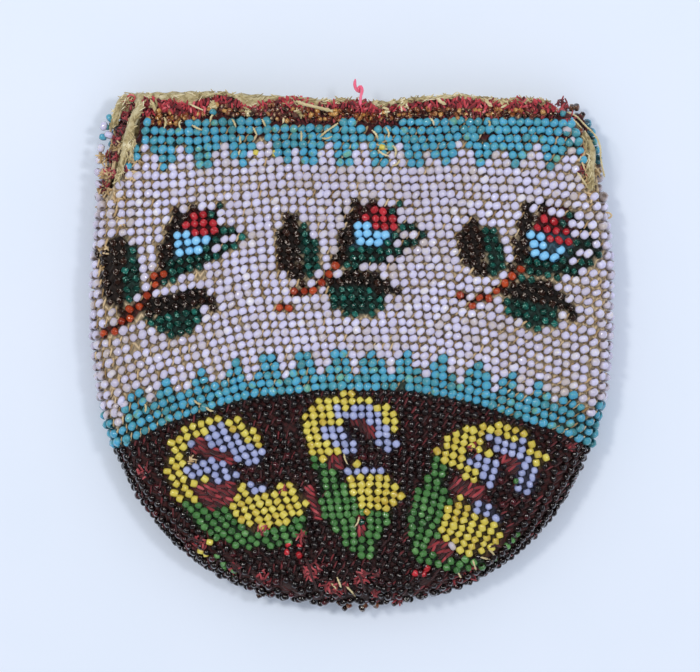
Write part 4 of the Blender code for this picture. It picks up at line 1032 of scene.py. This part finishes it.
STRAND = turned(5, ((0.0, -0.5), (0.34, -0.42), (0.5, -0.15), (0.5, 0.15), (0.34, 0.42), (0.0, 0.5)))
BEADS = {
    "round": turned(8, ((0.15, -0.4), (0.29, -0.5), (0.44, -0.3), (0.5, 0.0), (0.44, 0.3), (0.29, 0.5),
                        (0.15, 0.4))),
    "barrel": turned(9, ((0.17, -0.42), (0.36, -0.5), (0.48, -0.34), (0.5, 0.0), (0.48, 0.34),
                         (0.36, 0.5), (0.17, 0.42))),
    "cut": turned(6, ((0.2, -0.42), (0.4, -0.5), (0.5, 0.0), (0.4, 0.5), (0.2, 0.42))),
    "plain": turned(8, ((0.18, -0.4), (0.42, -0.47), (0.5, 0.0), (0.42, 0.47), (0.18, 0.4))),
}
GLASS = {
    # Opal glass: milky and a little see-through, greyed by old soil in patches, with a paler painted shadow
    # in its bore and lighter painted shade on its side in the knit
    "white": bead_glass("opal_white_glass", ((0, "#c6bbba"), (0.25, "#d0cada"), (0.55, "#d3d0f0"),
                                             (0.8, "#dedcf6"), (1, "#ebe7ee")),
                        0.14, 0.15, soil="#a08e80", soiled=0.35, bore="#74645a", knit_side_shade_and_soil=0.6),
    # Opaque glass of copper turquoise: a few beads greener than the rest
    "turquoise": bead_glass("turquoise_glass", ((0, "#468a92"), (0.3, "#50a4b6"), (0.7, "#52aed6"),
                                                (1, "#74b69e")),
                            0.2, soil="#23545a", soiled=0.3, bore="#173c44"),
    # Faceted brown glass: some beads of clear amber, which glint among the dark ones with lamp highlights and
    # painted amber glints
    "brown": bead_glass("cut_brown_glass", ((0, "#2a0d0a"), (0.45, "#571c14"), (0.75, "#8a4a22"),
                                            (1, "#cc9650")), 0.06,
                        pitted=0.8, painted_glints=0.5, painted_glint_colour="#f2d2a0", knit_side_shade_and_soil=0.3),
    # Dark garnet glass: near black, with red where the light comes through
    "garnet": bead_glass("garnet_glass", ((0, "#0c0506"), (0.7, "#150708"), (0.9, "#2a0c10"),
                                          (1, "#4e121a")), 0.05,
                         soil="#140808", soiled=0.2, bore="#080404", pitted=0.06, painted_glints=0.05, ior=1.7,
                         polish=1.0),
    # Faceted smoky glass: near black, with sharp white glints, from the lamps and painted on
    "dark_leaf": bead_glass("cut_smoky_glass", ((0, "#140a06"), (1, "#341a0e")), 0.05, soil="#0c0604",
                            soiled=0.1, bore="#0a0605", pitted=0.7, painted_glints=0.5, painted_glint_colour="#e6d6c6"),
    # Faceted teal glass: dark and clear, bright at its facets from the lamps and from painted teal glints
    "teal": bead_glass("cut_teal_glass", ((0, "#0a2c26"), (0.6, "#124a3f"), (1, "#26766a")), 0.05,
                       soil="#08221c", soiled=0.1, pitted=0.7, painted_glints=0.5, painted_glint_colour="#8fd2bc"),
    # Opaque red glass: glossy, with round highlights
    "red": bead_glass("red_glass", ((0, "#a01a22"), (1, "#d23640")), 0.1, soil="#480a0e", soiled=0.1),
    # Opaque light blue glass: smooth long beads that shine the most
    "light_blue": bead_glass("light_blue_glass", ((0, "#7cc4f2"), (1, "#94d8fc")), 0.2, soil="#2f6f9c",
                             soiled=0.05),
    # Brick red glass, worn dull
    "rust": bead_glass("brick_red_glass", ((0, "#8a2a14"), (1, "#c04a22")), 0.1, soil="#4a160a",
                       soiled=0.1),
    # Opaque yellow glass: short barrels with flat ends
    "yellow": bead_glass("yellow_glass", ((0, "#c0a23c"), (0.3, "#d2bf4c"), (1, "#e2d460")), 0.22, 0.08,
                         soil="#6a5218", soiled=0.12),
    # Opaque lilac glass, dulled by wear
    "lilac": bead_glass("lilac_glass", ((0, "#929bc0"), (0.5, "#a4add8"), (1, "#b8c0e6")), 0.2, 0.05,
                        soil="#4c4e74", soiled=0.15),
    # Clear green glass: darker in the middle, where its bore shows through
    "green": bead_glass("green_glass", ((0, "#386434"), (0.6, "#4c8044"), (1, "#669a58")), 0.14,
                        soil="#143214", soiled=0.1),
}
DYED = {
    # Silk yarn dyed crimson, faded to pink where it stands out
    "crimson": ("crimson_silk_yarn", ((0, "#3a0b0e"), (0.45, "#7c1a22"), (0.8, "#a42e36"), (1, "#bc5458"))),
    # The same yarn where the tape has kept its colour
    "bright_crimson": ("bright_crimson_silk_yarn", ((0, "#5c0e16"), (0.45, "#a6222e"), (0.85, "#c83c48"),
                                                    (1, "#dc6a70"))),
    # Ochre silk thread that carries the white beads
    "ochre": ("ochre_silk_thread", ((0, "#947240"), (0.5, "#c0a070"), (1, "#dfc598"))),
    # Cream linen sewing thread
    "cream": ("cream_linen_thread", ((0, "#8c7a4c"), (0.4, "#bba976"), (0.8, "#d6c594"), (1, "#ebdfba"))),
    # Pale pink silk thread
    "pink": ("pink_silk_thread", ((0, "#dc3658"), (0.5, "#f0587a"), (1, "#f88ca4"))),
}
# Short ends of yarn, each of its own tone, and whole threads, which are paler where they stand clear
YARNS = {dye: yarn_fibre(name, stops) for dye, (name, stops) in DYED.items()}
THREADS = {dye: yarn_fibre("long_" + name, stops, level=0.7) for dye, (name, stops) in DYED.items()}
CLOTHS = {
    "lining": cotton_cloth("cream_cotton_lining", ((0.3, "#8d7648"), (0.7, "#bfae80")), 0.0004),
    "tape": cotton_cloth("cream_cotton_tape", ((0.3, "#8a774a"), (0.45, "#c2b080"), (0.6, "#d6c89c"),
                                               (0.75, "#e6dcb8")), 0.00035),
}
LOTS = {
    "white": dict(glass="white", slot="white_beads", shape="round", across=2.42, long=1.72, turn=51),
    "turquoise": dict(glass="turquoise", slot="turquoise_beads", shape="round", across=2.42, long=1.84,
                      turn=51),
    "brown": dict(glass="brown", slot="brown_beads", shape="cut", across=1.7, long=1.5, turn=50),
    "garnet": dict(glass="garnet", slot="garnet_beads", shape="round", across=1.84, long=1.66, turn=50),
    "leaf_dark": dict(glass="dark_leaf", slot="dark_leaf_beads", shape="cut", across=1.86, long=1.58,
                      turn=50),
    "sepal": dict(glass="dark_leaf", slot="dark_leaf_beads", shape="cut", across=1.86, long=1.58, turn=50),
    "leaf_teal": dict(glass="teal", slot="teal_beads", shape="cut", across=1.86, long=1.58, turn=50),
    "calyx": dict(glass="teal", slot="teal_beads", shape="cut", across=1.86, long=1.58, turn=50),
    "bud_red": dict(glass="red", slot="red_beads", shape="round", across=2.05, long=1.85, turn=50),
    "bud_blue": dict(glass="light_blue", slot="light_blue_beads", shape="round", across=2.5, long=1.84,
                     turn=52),
    "stem": dict(glass="rust", slot="rust_beads", shape="round", across=2.05, long=1.85, turn=50),
    "arm": dict(glass="yellow", slot="yellow_beads", shape="barrel", across=1.94, long=1.66, turn=48),
    "lobe": dict(glass="yellow", slot="yellow_beads", shape="barrel", across=1.94, long=1.66, turn=48),
    "lilac": dict(glass="lilac", slot="lilac_beads", shape="round", across=1.94, long=1.76, turn=50),
    "foot": dict(glass="green", slot="green_beads", shape="round", across=1.92, long=1.76, turn=45),
}
FIELD_NODES = {
    "back_upper_turquoise_beads": ("back_upper_turquoise_beads", "left_fold_turquoise_beads",
                                   "right_fold_turquoise_beads"),
    "back_white_beads": ("back_white_beads", "left_fold_white_beads", "right_fold_white_beads"),
}

# The mouth, as rows of the view at these columns of the view
MOUTH_MARKS = (
    120, 130, 143, 155, 172, 190, 200, 212, 225, 238, 250, 262, 275, 290, 300, 315, 330, 345, 360, 380,
    395, 415, 440, 460, 480, 500, 520, 545, 557,
)
TAPE_TOP = (
    97.5, 94, 93.5, 93, 92.5, 92, 92, 92, 93, 94, 94.5, 95.5, 96, 96.5, 97, 99, 100, 100.5, 101, 101.5,
    101.5, 97.5, 96, 94, 97.5, 101, 97, 101.5, 107.5,
)
# How far the knitting stays below the mouth, in millimetres, so that the tape covers its edge
MOUTH_DIP = [max((level + 3 - VIEW_MOUTH) * PIXEL + 0.7, 0.0) for level in TAPE_TOP]
TAPE_BOTTOM = (
    106, 104, 98, 99, 101, 105, 99, 95, 95, 100, 110, 103, 100, 106, 109, 105, 102, 101, 101, 110, 103, 101,
    99, 97, 99, 102, 101, 103, 109,
)
CRIMSON_TOP = (
    99, 99, 97, 98, 100, 103, 101, 96, 96, 100, 107, 101, 100, 97, 97, 102, 102, 101, 99, 107, 104, 103,
    100, 97, 99, 101, 98, 101, 107,
)
CRIMSON_BOTTOM = (
    99, 99, 116, 113, 113, 119, 118, 106, 105, 110, 112, 109, 107, 107, 107, 110, 110, 110, 111, 117, 111,
    109, 108, 108, 114, 108, 114, 113, 112,
)
BROWN_TOP = (
    116, 116, 116, 110, 111, 113, 111, 104, 101, 106, 110, 106, 103, 106, 109, 109, 108, 109, 111, 114,
    109, 109, 108, 106, 110, 106, 109, 111, 111,
)
BROWN_BOTTOM = (
    116, 116, 118, 124, 126, 120, 118, 110, 114, 115, 113, 118, 121, 121, 119, 121, 121, 119, 121, 123,
    121, 118, 118, 118, 118, 118, 118, 118, 115,
)

# Beads of the sprigs' stems: pixels across and down
STEM_BEADS = {
    "left": ((163, 274), (154.3, 276.6), (155.8, 283.8), (148.2, 294.5), (141.8, 303.7), (135.7, 312.1),
             (128.3, 322.6), (120.4, 322.6), (113.5, 332.6), (104.8, 332.8)),
    "middle": ((334.9, 264.6), (327.8, 272.4), (321.1, 279.7), (314.1, 287.1), (307, 293.1), (298.3, 292),
               (288.9, 305.2), (280.2, 305.4)),
    "right": ((516, 270.9), (508.9, 276.7), (500.8, 282.4), (493.2, 288.7), (485.9, 295), (477.3, 293.9),
              (470.1, 300.8), (460.7, 298.1)),
}
# Threads as routes of the view: pixels across and down, and millimetres above the knitting
WHIP_STITCHES = (
    ((190, 104, 2.0), (196, 107, 2.6), (203, 110, 2.1)),
    ((214, 113, 2.0), (211, 117, 2.6), (210, 122, 1.8)),
    ((192, 125, 2.2), (197, 128, 2.6), (202, 130, 2.0)),
    ((232, 119, 2.0), (234, 122, 2.5), (236, 127, 1.8)),
    ((253, 127, 2.1), (255, 131, 2.6), (257, 135, 2.0)),
    ((262, 119, 2.0), (264, 123, 2.5), (266, 127, 1.8)),
    ((283, 117, 2.0), (283.5, 120, 2.4), (283, 123, 1.8)),
    ((240, 136, 2.2), (240, 140, 2.5), (241, 143, 2.0)),
    ((240, 150, 2.2), (239, 152, 2.5), (239, 155, 2.0)),
    ((301, 131, 2.1), (301.5, 136, 2.6), (301, 141, 2.0)),
    ((320, 137, 2.0), (325, 132, 2.6), (331, 128, 2.7), (338, 123, 2.0)),
    ((322, 138, 2.1), (327, 138.5, 2.5), (332, 136, 2.0)),
    ((372, 130, 2.1), (376, 134, 2.7), (378, 139, 2.1)),
    ((386, 127, 2.1), (389, 133, 2.6), (388, 138, 2.0)),
    ((378, 150, 2.1), (383, 154, 2.6), (389, 156, 2.0)),
    ((393, 145, 2.0), (396, 150, 2.6), (395, 157, 2.0)),
    ((400, 160, 2.1), (397, 164, 2.5), (392, 166, 2.0)),
    ((164, 117, 2.2), (166, 122, 2.5), (164, 128, 2.0)),
    ((181, 120, 2.2), (179, 124, 2.5), (181, 129, 2.0)),
    ((430, 118, 2.0), (433, 121, 2.5), (434, 125, 1.8)),
    ((488, 120, 2.0), (490, 123, 2.5), (489, 127, 1.9)),
    ((145, 404, 2.1), (146, 408, 2.5), (145, 412, 2.0)),
    ((194, 400, 2.1), (197, 403, 2.5), (201, 404, 2.0)),
    ((206, 407, 2.1), (209, 410, 2.5), (213, 411, 2.0)),
)
MOUTH_TWIST = (
    ((296, 101, 1.8), (303, 104, 2.4), (312, 106, 2.5), (322, 108.5, 2.5), (333, 111, 1.9)),
    ((210, 104, 1.4), (214, 107, 2.4), (218, 105, 1.6)),
    ((151, 101, 1.6), (154, 106, 2.2), (155, 111, 1.8)),
    ((437, 98, 1.6), (441, 102, 2.2), (446, 104, 1.9)),
    ((485, 98, 1.5), (488, 103, 2.2), (492, 106, 1.9)),
)
LOOSE_THREADS = (
    ((567, 112, 0.8), (576, 116, 1.4), (585, 125, 2.4), (595, 135, 3.4), (600, 146, 3.6), (601, 160, 3.0),
     (604.5, 177, 1.6)),
    ((571, 118, 1.4), (576, 122, 2.2), (582, 128.5, 2.0)),
    ((577, 172, 1.8), (583, 180, 2.2), (589, 189, 1.8)),
    ((337, 577, 1.6), (339.5, 583, 2.1), (342, 590, 1.5)),
    ((331, 583, 1.6), (334, 586, 2.0), (337, 590, 1.5)),
    ((346, 586, 1.5), (352, 592, 2.1), (358, 600, 1.0)),
    ((489, 550, 1.7), (492, 552, 2.1), (495, 556, 1.6)),
    ((480, 557, 1.7), (484, 558, 2.0), (489, 559.5, 1.5)),
    ((473, 560, 1.7), (475, 567, 2.1), (478, 575, 1.5)),
    ((458, 572, 1.7), (460, 576, 2.0), (464, 582, 1.3)),
    ((359, 517, 1.6), (358, 522, 2.0), (354.5, 527, 1.6)),
    ((344, 454, 1.7), (345, 459, 2.1), (347.5, 464, 1.6)),
    ((101, 262, 2.0), (98, 266, 2.2), (99, 270, 1.6)),
)
CURL = (((355.4, 79, 0.0), (354.7, 84, 0.4), (356, 89, 0.8), (359.2, 91.6, 1.2), (358.6, 87.6, 1.7),
         (361, 86.6, 2.1), (362.3, 90.5, 2.2), (360.9, 95.5, 2.2), (360.4, 101, 2.0), (360.9, 107, 1.4)),)
CORNER_CURL = (((127, 97, 2.4), (131, 94.5, 3.0), (135, 97, 3.2), (133, 101, 3.0), (129, 100, 2.6)),
               ((120, 104, 1.6), (124, 101, 2.2), (128, 104, 2.0)))
BROWN_LOOP = (((604.5, 215, 1.6), (606, 212.5, 2.0), (609.5, 213, 2.2), (611.5, 215.5, 2.0),
               (609, 218, 1.6), (605.5, 217.5, 1.4)),)
SLIT_YARN = (
    ((112, 126, 1.4), (110, 134, 1.0), (112, 143, 0.7), (109, 152, 0.8), (106, 163, 1.0), (108, 174, 1.2),
     (105, 186, 1.2)),
    ((114, 128, 0.8), (115, 138, 0.4), (113, 148, 0.5), (114, 158, 0.6), (112, 170, 0.8), (109, 182, 1.0)),
    ((119, 132, 0.6), (117, 142, 0.6), (118, 152, 0.6), (115, 163, 0.9), (113, 176, 1.0)),
    ((128, 150, 1.2), (130, 158, 1.7), (128, 167, 1.6), (131, 176, 1.7), (129, 186, 1.4)),
    ((133, 134, 1.2), (135, 143, 1.7), (132, 152, 1.6), (134, 162, 1.6)),
    ((123, 180, 1.2), (120, 190, 1.5), (119, 200, 1.5), (116, 210, 1.2)),
    ((100, 243, 1.8), (98, 248, 2.2), (101, 254, 1.6)),
    ((583, 141, 1.6), (585, 150, 2.0), (582, 160, 2.0), (585, 170, 1.8), (588, 182, 1.6)),
)
LOWER_YARN = (
    ((187, 541, 1.5), (192, 538, 2.2), (198, 541, 2.2), (204, 537, 1.6)),
    ((231, 562, 1.5), (233, 566, 2.2), (237, 569, 1.9), (242, 574, 1.4)),
    ((252, 573, 1.5), (257, 578, 2.2), (262, 583, 2.2), (266, 589, 1.4)),
    ((305, 558, 1.5), (309, 566, 2.1), (312, 577, 2.1), (317, 588, 1.4)),
    ((329, 586, 1.4), (334, 592, 2.0), (340, 596, 2.0), (344, 601, 1.2)),
    ((357, 570, 1.5), (361, 578, 2.0), (363, 586, 2.0), (366, 592, 1.3)),
    ((476, 570, 1.5), (470, 576, 2.1), (464, 579, 2.1), (457, 583, 1.2)),
    ((383, 598, 1.3), (389, 600, 1.9), (399, 596, 1.3)),
    ((490, 548, 1.6), (495, 545, 2.1), (501, 547, 1.6)),
)
TAPES = {
    "left_outer_tape": dict(route=((128, 97, 0.4), (122, 102, 1.2), (118, 109, 1.6), (115, 118, 2.0),
                                   (112, 129, 1.4)),
                            widths=(9, 8, 7, 5.5, 3), turns=(-20, 10, 35, 50, 70)),
    "left_inner_tape": dict(route=((139, 100, 1.4), (140, 107, 2.0), (135, 116, 2.2), (131, 127, 2.2),
                                   (126.5, 141, 2.2), (124, 156, 2.2), (121, 167, 2.0), (118, 181, 1.4)),
                            widths=(9, 8, 8, 7, 6, 5, 4.5, 3), turns=(0, 35, -25, 30, -30, 35, -20, 30)),
    "right_tape": dict(route=((583, 132, 1.0), (588, 142, 1.8), (591, 154, 2.0), (590, 168, 2.0),
                              (591, 180, 1.8), (593, 190, 1.2)),
                       widths=(4, 8, 9, 8, 7, 3), turns=(10, 30, -20, 25, -15, 25)),
}
# Where tape has frayed: pixels across and down, and half the tape's width in pixels
MOUTH_FIBRES = (
    tuple((x, (top + bottom) / 2, max((bottom - top) / 2, 2.5)) for x, top,
          bottom in zip(MOUTH_MARKS, TAPE_TOP, TAPE_BOTTOM)),
)
SLIT_FIBRES = (
    ((131, 96, 5), (121, 103, 5), (117, 112, 4), (113, 127, 3)),
    ((142, 99, 4), (140, 107, 4), (135, 117, 4), (131, 128, 4), (126, 142, 3.5), (124, 156, 3),
     (121, 168, 3), (117, 183, 3)),
    ((584, 134, 2), (589, 145, 4), (591, 156, 4), (590, 170, 4), (592, 188, 3)),
    ((132, 118, 3), (130, 132, 3), (131, 146, 3), (129, 160, 3)),
)
FRAYS = {
    "crimson": ((116, 140, 5, 26), (121, 130, 5, 22), (125, 117, 5, 18), (130, 104, 6, 26),
                (112, 156, 6, 26), (110, 172, 6, 24),
                (104, 186, 5, 16), (124, 170, 4, 14), (582, 150, 4, 12), (584, 170, 4, 12),
                (302, 537, 5, 20),
                (198, 545, 8, 34), (262, 579, 8, 34), (312, 570, 9, 60), (334, 590, 9, 58),
                (361, 579, 8, 40),
                (376, 574, 5, 18), (376, 594, 4, 14), (398, 598, 5, 18), (143, 472, 6, 24),
                (573, 446, 5, 20),
                (472, 573, 7, 30), (456, 582, 4, 12), (234, 568, 5, 18), (324, 583, 5, 14),
                (282, 490, 4, 12),
                (262, 529, 5, 16), (473, 447, 4, 10), (345, 586, 4, 12), (570, 118, 5, 16),
                (563, 104, 6, 24)),
    "ochre": ((103, 158, 5, 26), (106, 174, 6, 34), (105, 190, 6, 34), (103, 206, 5, 22),
              (123, 221, 5, 16), (119, 196, 6, 24),
              (131, 176, 6, 22), (137, 160, 5, 14), (103, 250, 5, 30), (99, 268, 4, 16),
              (117, 146, 5, 18), (130, 146, 4, 12),
              (583, 160, 5, 20), (589, 182, 5, 18), (596, 172, 5, 14), (592, 196, 5, 14),
              (385, 146, 8, 26), (193, 460, 4, 8)),
}
CREAM_LUMPS = ((213, 106, 4, 26), (403, 104, 5, 18), (154, 104, 4, 10), (505, 103, 4, 10),
               (245, 112, 4, 14), (300, 112, 4, 14), (385, 111, 4, 12))
STRAYS = {
    "white": ((109, 135), (101, 148), (104, 126, 0.6), (99, 160), (98, 172), (99, 184), (98, 197),
              (100, 212), (573, 140), (567, 130), (452, 546), (116, 406), (124, 404), (120, 414)),
    "turquoise": ((213, 112, 2.2), (110, 118, 0.4), (106, 126, 0.2), (103, 137, 0.4), (574, 131),
                  (579, 140), (154, 130),
                  (563, 113, 0.6), (570, 121, 0.8), (127, 443), (120, 447), (573, 432), (580, 437),
                  (586, 440)),
    "brown": ((518, 116, 2.2), (532, 116, 2.2), (543, 112, 2.2), (581, 131.5, 2.0), (340, 603, 0.4),
              (349, 605, 0.3), (365, 605, 0.3), (376, 605, 0.2), (176, 117, 2.3), (295, 115, 2.3)),
    "arm": ((276, 153, 1.3), (256, 153, 1.3), (209.5, 542, 1.6), (206, 554, 1.4), (201, 551, 1.3),
            (367, 512, 1.5), (382, 147, 1.6), (243, 486)),
    "foot": ((213, 558, 1.2), (217, 556, 1.3), (223, 563, 1.1), (224, 567, 0.9), (234, 570, 1.2),
             (236, 576, 1.0), (512, 540), (517.5, 534.5), (495, 558), (507, 546), (516, 481, 1.5)),
    "bud_red": ((287, 552), (299, 555), (299.5, 546), (288.5, 544.5), (415, 573), (423.5, 574),
                (427, 568.5)),
    "leaf_dark": ((264, 593, 0.6), (260, 595, 0.2), (306, 597, 0.6), (321.5, 599, 0.6), (362, 608, 0.1),
                  (395, 603, 0.4), (491, 560, 1.2), (481, 569, 1.0), (470, 582, 0.8), (345, 608, 0.0)),
    "leaf_teal": ((362, 522, 1.6),),
}

row, stitch, depth, across, side = bead_places()
level = (depth - BARE_EDGE) / ROW_PITCH
aside, down = sway(across, depth)
across = across + aside
depth = depth + down * np.clip(row / 4, 0, 1)
edge = np.where(across < 0, reach(FRONT, LEFT, depth), reach(FRONT, RIGHT, depth))
point, along, up, out = surface(across, depth, side)
seen_x, seen_y = seen(point)
covered = (side == FRONT) & (seen_y < mouth_level(seen_x, BROWN_BOTTOM) + 2)
lost = (side == FRONT) & (chance.uniform(0, 1, len(row)) < np.where(row < 4, 0.04, 0.004))
in_slit = (side == FRONT) & (depth < SLIT_DEPTH) & (np.abs(across) > edge - 0.8)
kept = ~in_slit & ~covered & ~lost
row, stitch, level, side, seen_x, seen_y = (held[kept] for held in (row, stitch, level, side, seen_x,
                                                                    seen_y))
point, along, up, out = point[kept], along[kept], up[kept], out[kept]
names = colour_fields(level, point[:, 0] / COLUMN_PITCH, side)
# The buds and the stems are strung stitch by stitch on the white ground
for part in ("_stem", "_sepal", "_calyx", "_bud_red", "_bud_blue"):
    names[np.char.endswith(names, part)] = "front_white_beads"
hidden = 1000.0 * (side == BACK)
for hand, (x, y) in BUD_PLACES.items():
    first = np.argmin(np.hypot(seen_x - x, seen_y - y) + hidden)
    stitches = (stitch - stitch[first] + COLUMNS) % (2 * COLUMNS) - COLUMNS + BUD_BEAD[0]
    rows = row - row[first] + BUD_BEAD[1]
    for part, outline in BUD_CHART.items():
        chosen = inside(outline, stitches, rows) & (side == FRONT)
        names[chosen] = f"{hand}_sprig_{CHART_NODES.get(part, part)}"
for hand, spots in STEM_BEADS.items():
    for x, y in spots:
        names[np.argmin(np.hypot(seen_x - x, seen_y - y) + hidden)] = f"{hand}_sprig_stem"
string_beads(point, along, up, out, names)
bare_stitches(point, along, up, out, names)

front = side == FRONT
pale = np.char.find(names, "white") + np.char.find(names, "turquoise") > -2
dark = np.char.find(names, "garnet") >= 0
for name, chosen, share, thickness, brightest, material in (
        ("front_ochre_thread", front & pale, 0.95, 0.6, 0.9, YARNS["ochre"]),
        ("back_ochre_thread", ~front & pale, 0.4, 0.4, 1.0, YARNS["ochre"]),
        ("front_crimson_thread", front & dark, 0.5, 0.45, 0.3, YARNS["crimson"])):
    gap_threads(name, point[chosen], along[chosen], up[chosen], out[chosen], share, thickness, brightest,
                material)

bag = sheet_bag("knitted_bag", "knitted_pouch", knit_yarn("silk_knitting"), "crimson_knit", KNIT_THICKNESS,
                lift=0.35, inset=0.0, top=0.0, across_steps=116, down_steps=136)
lining = sheet_bag("cotton_bag_lining", "cloth_lining", CLOTHS["lining"], "cream_lining", LINING_THICKNESS,
                   lift=LINING_LIFT, inset=1.7, top=1.7, across_steps=40, down_steps=40)

mouth_edge()
mouth_tape("front_mouth_tape", "front_binding_tape", FRONT, 0.0)
mouth_tape("back_mouth_tape", "back_binding_tape", BACK, 1.2)
for name, strip in TAPES.items():
    tape(name, np.array(strip["route"]), strip["widths"], strip["turns"], 0.5, CLOTHS["tape"])
tape_fibres("mouth_tape_fibres", MOUTH_FIBRES, 120, 1.0, YARNS["cream"])
tape_fibres("slit_tape_fibres", SLIT_FIBRES, 160, 2.4, YARNS["cream"])
for dye, spots in FRAYS.items():
    frayed_yarn(f"frayed_{dye}_yarn", spots, 0.5, 1.7, YARNS[dye])
frayed_yarn("cream_lumps", CREAM_LUMPS, 0.55, 1.5, YARNS["cream"], lift=(1.4, 2.3))
threads("whip_stitches", WHIP_STITCHES, 0.62, THREADS["cream"], plies=2)
threads("mouth_twist", MOUTH_TWIST, 1.1, THREADS["cream"], plies=2, pitch=2.4)
threads("loose_threads", LOOSE_THREADS, 0.55, THREADS["cream"], plies=2)
threads("pink_curl", CURL, 0.8, THREADS["pink"])
threads("corner_curl", CORNER_CURL, 0.4, THREADS["bright_crimson"])
threads("brown_loop", BROWN_LOOP, 0.5, THREADS["ochre"])
threads("slit_yarn", SLIT_YARN, 0.7, THREADS["ochre"], plies=2)
threads("lower_yarn", LOWER_YARN, 0.7, YARNS["crimson"], plies=2)
stray_beads()

# Floor, light and camera
floor_form = bmesh.new()
bmesh.ops.create_grid(floor_form, x_segments=1, y_segments=1, size=1.5)
floor = bpy.data.objects.new("floor", finished(floor_form, "floor"))
bpy.context.scene.collection.objects.link(floor)
paper = new_material("pale_paper")
grain = add(paper, "TexNoise", {"Vector": add(paper, "TexCoord").outputs["Object"],
                                "Scale": 30.0}).outputs["Fac"]
tint = add(paper, "ValToRGB", {"Fac": grain}, ((0.3, "#e1eaf6"), (0.7, "#e3ebf7")))
matt = add(paper, "BsdfPrincipled", {"Base Color": tint.outputs[0], "Roughness": 0.9})
add(paper, "OutputMaterial", {"Surface": matt.outputs[0]})
floor.data.materials.append(paper)

scene = bpy.context.scene
scene.view_settings.view_transform = "Standard"
world = bpy.data.worlds.new("studio")
world.use_nodes = True
world.node_tree.nodes.clear()
# The room lights evenly, but it is dark in the reflections, so black glass stays black between its highlights
glossy = add(world, "LightPath").outputs["Is Glossy Ray"]
strength = add(world, "MapRange", {"Value": glossy, "To Min": 0.76, "To Max": 0.1})
room = add(world, "Background", {"Color": linear("#ecf1fb"), "Strength": strength.outputs[0]})
add(world, "OutputWorld", {"Surface": room.outputs[0]})
scene.world = world


def soft_light(name, place, size, power, colour):
    """A soft box that faces the middle of the bag."""
    light = bpy.data.lights.new(name, "AREA")
    light.size = size
    light.energy = power
    light.color = linear(colour)[:3]
    made = bpy.data.objects.new(name, light)
    made.location = place
    made.rotation_euler = (-Vector(place)).to_track_quat("-Z", "Y").to_euler()
    scene.collection.objects.link(made)


soft_light("key", (-0.36, 0.2, 0.76), 0.12, 1.85, "#fffaf2")
soft_light("fill", (0.38, 0.12, 0.76), 0.12, 1.55, "#f8f8fc")

camera = bpy.data.cameras.new("camera")
camera.lens = 126.0
camera.sensor_width = 36.0
view = bpy.data.objects.new("camera", camera)
view.location = (VIEW_CENTRE[0] * MM, VIEW_CENTRE[1] * MM, (VIEW_LEVEL + VIEW_DISTANCE) * MM)
scene.collection.objects.link(view)
scene.camera = view
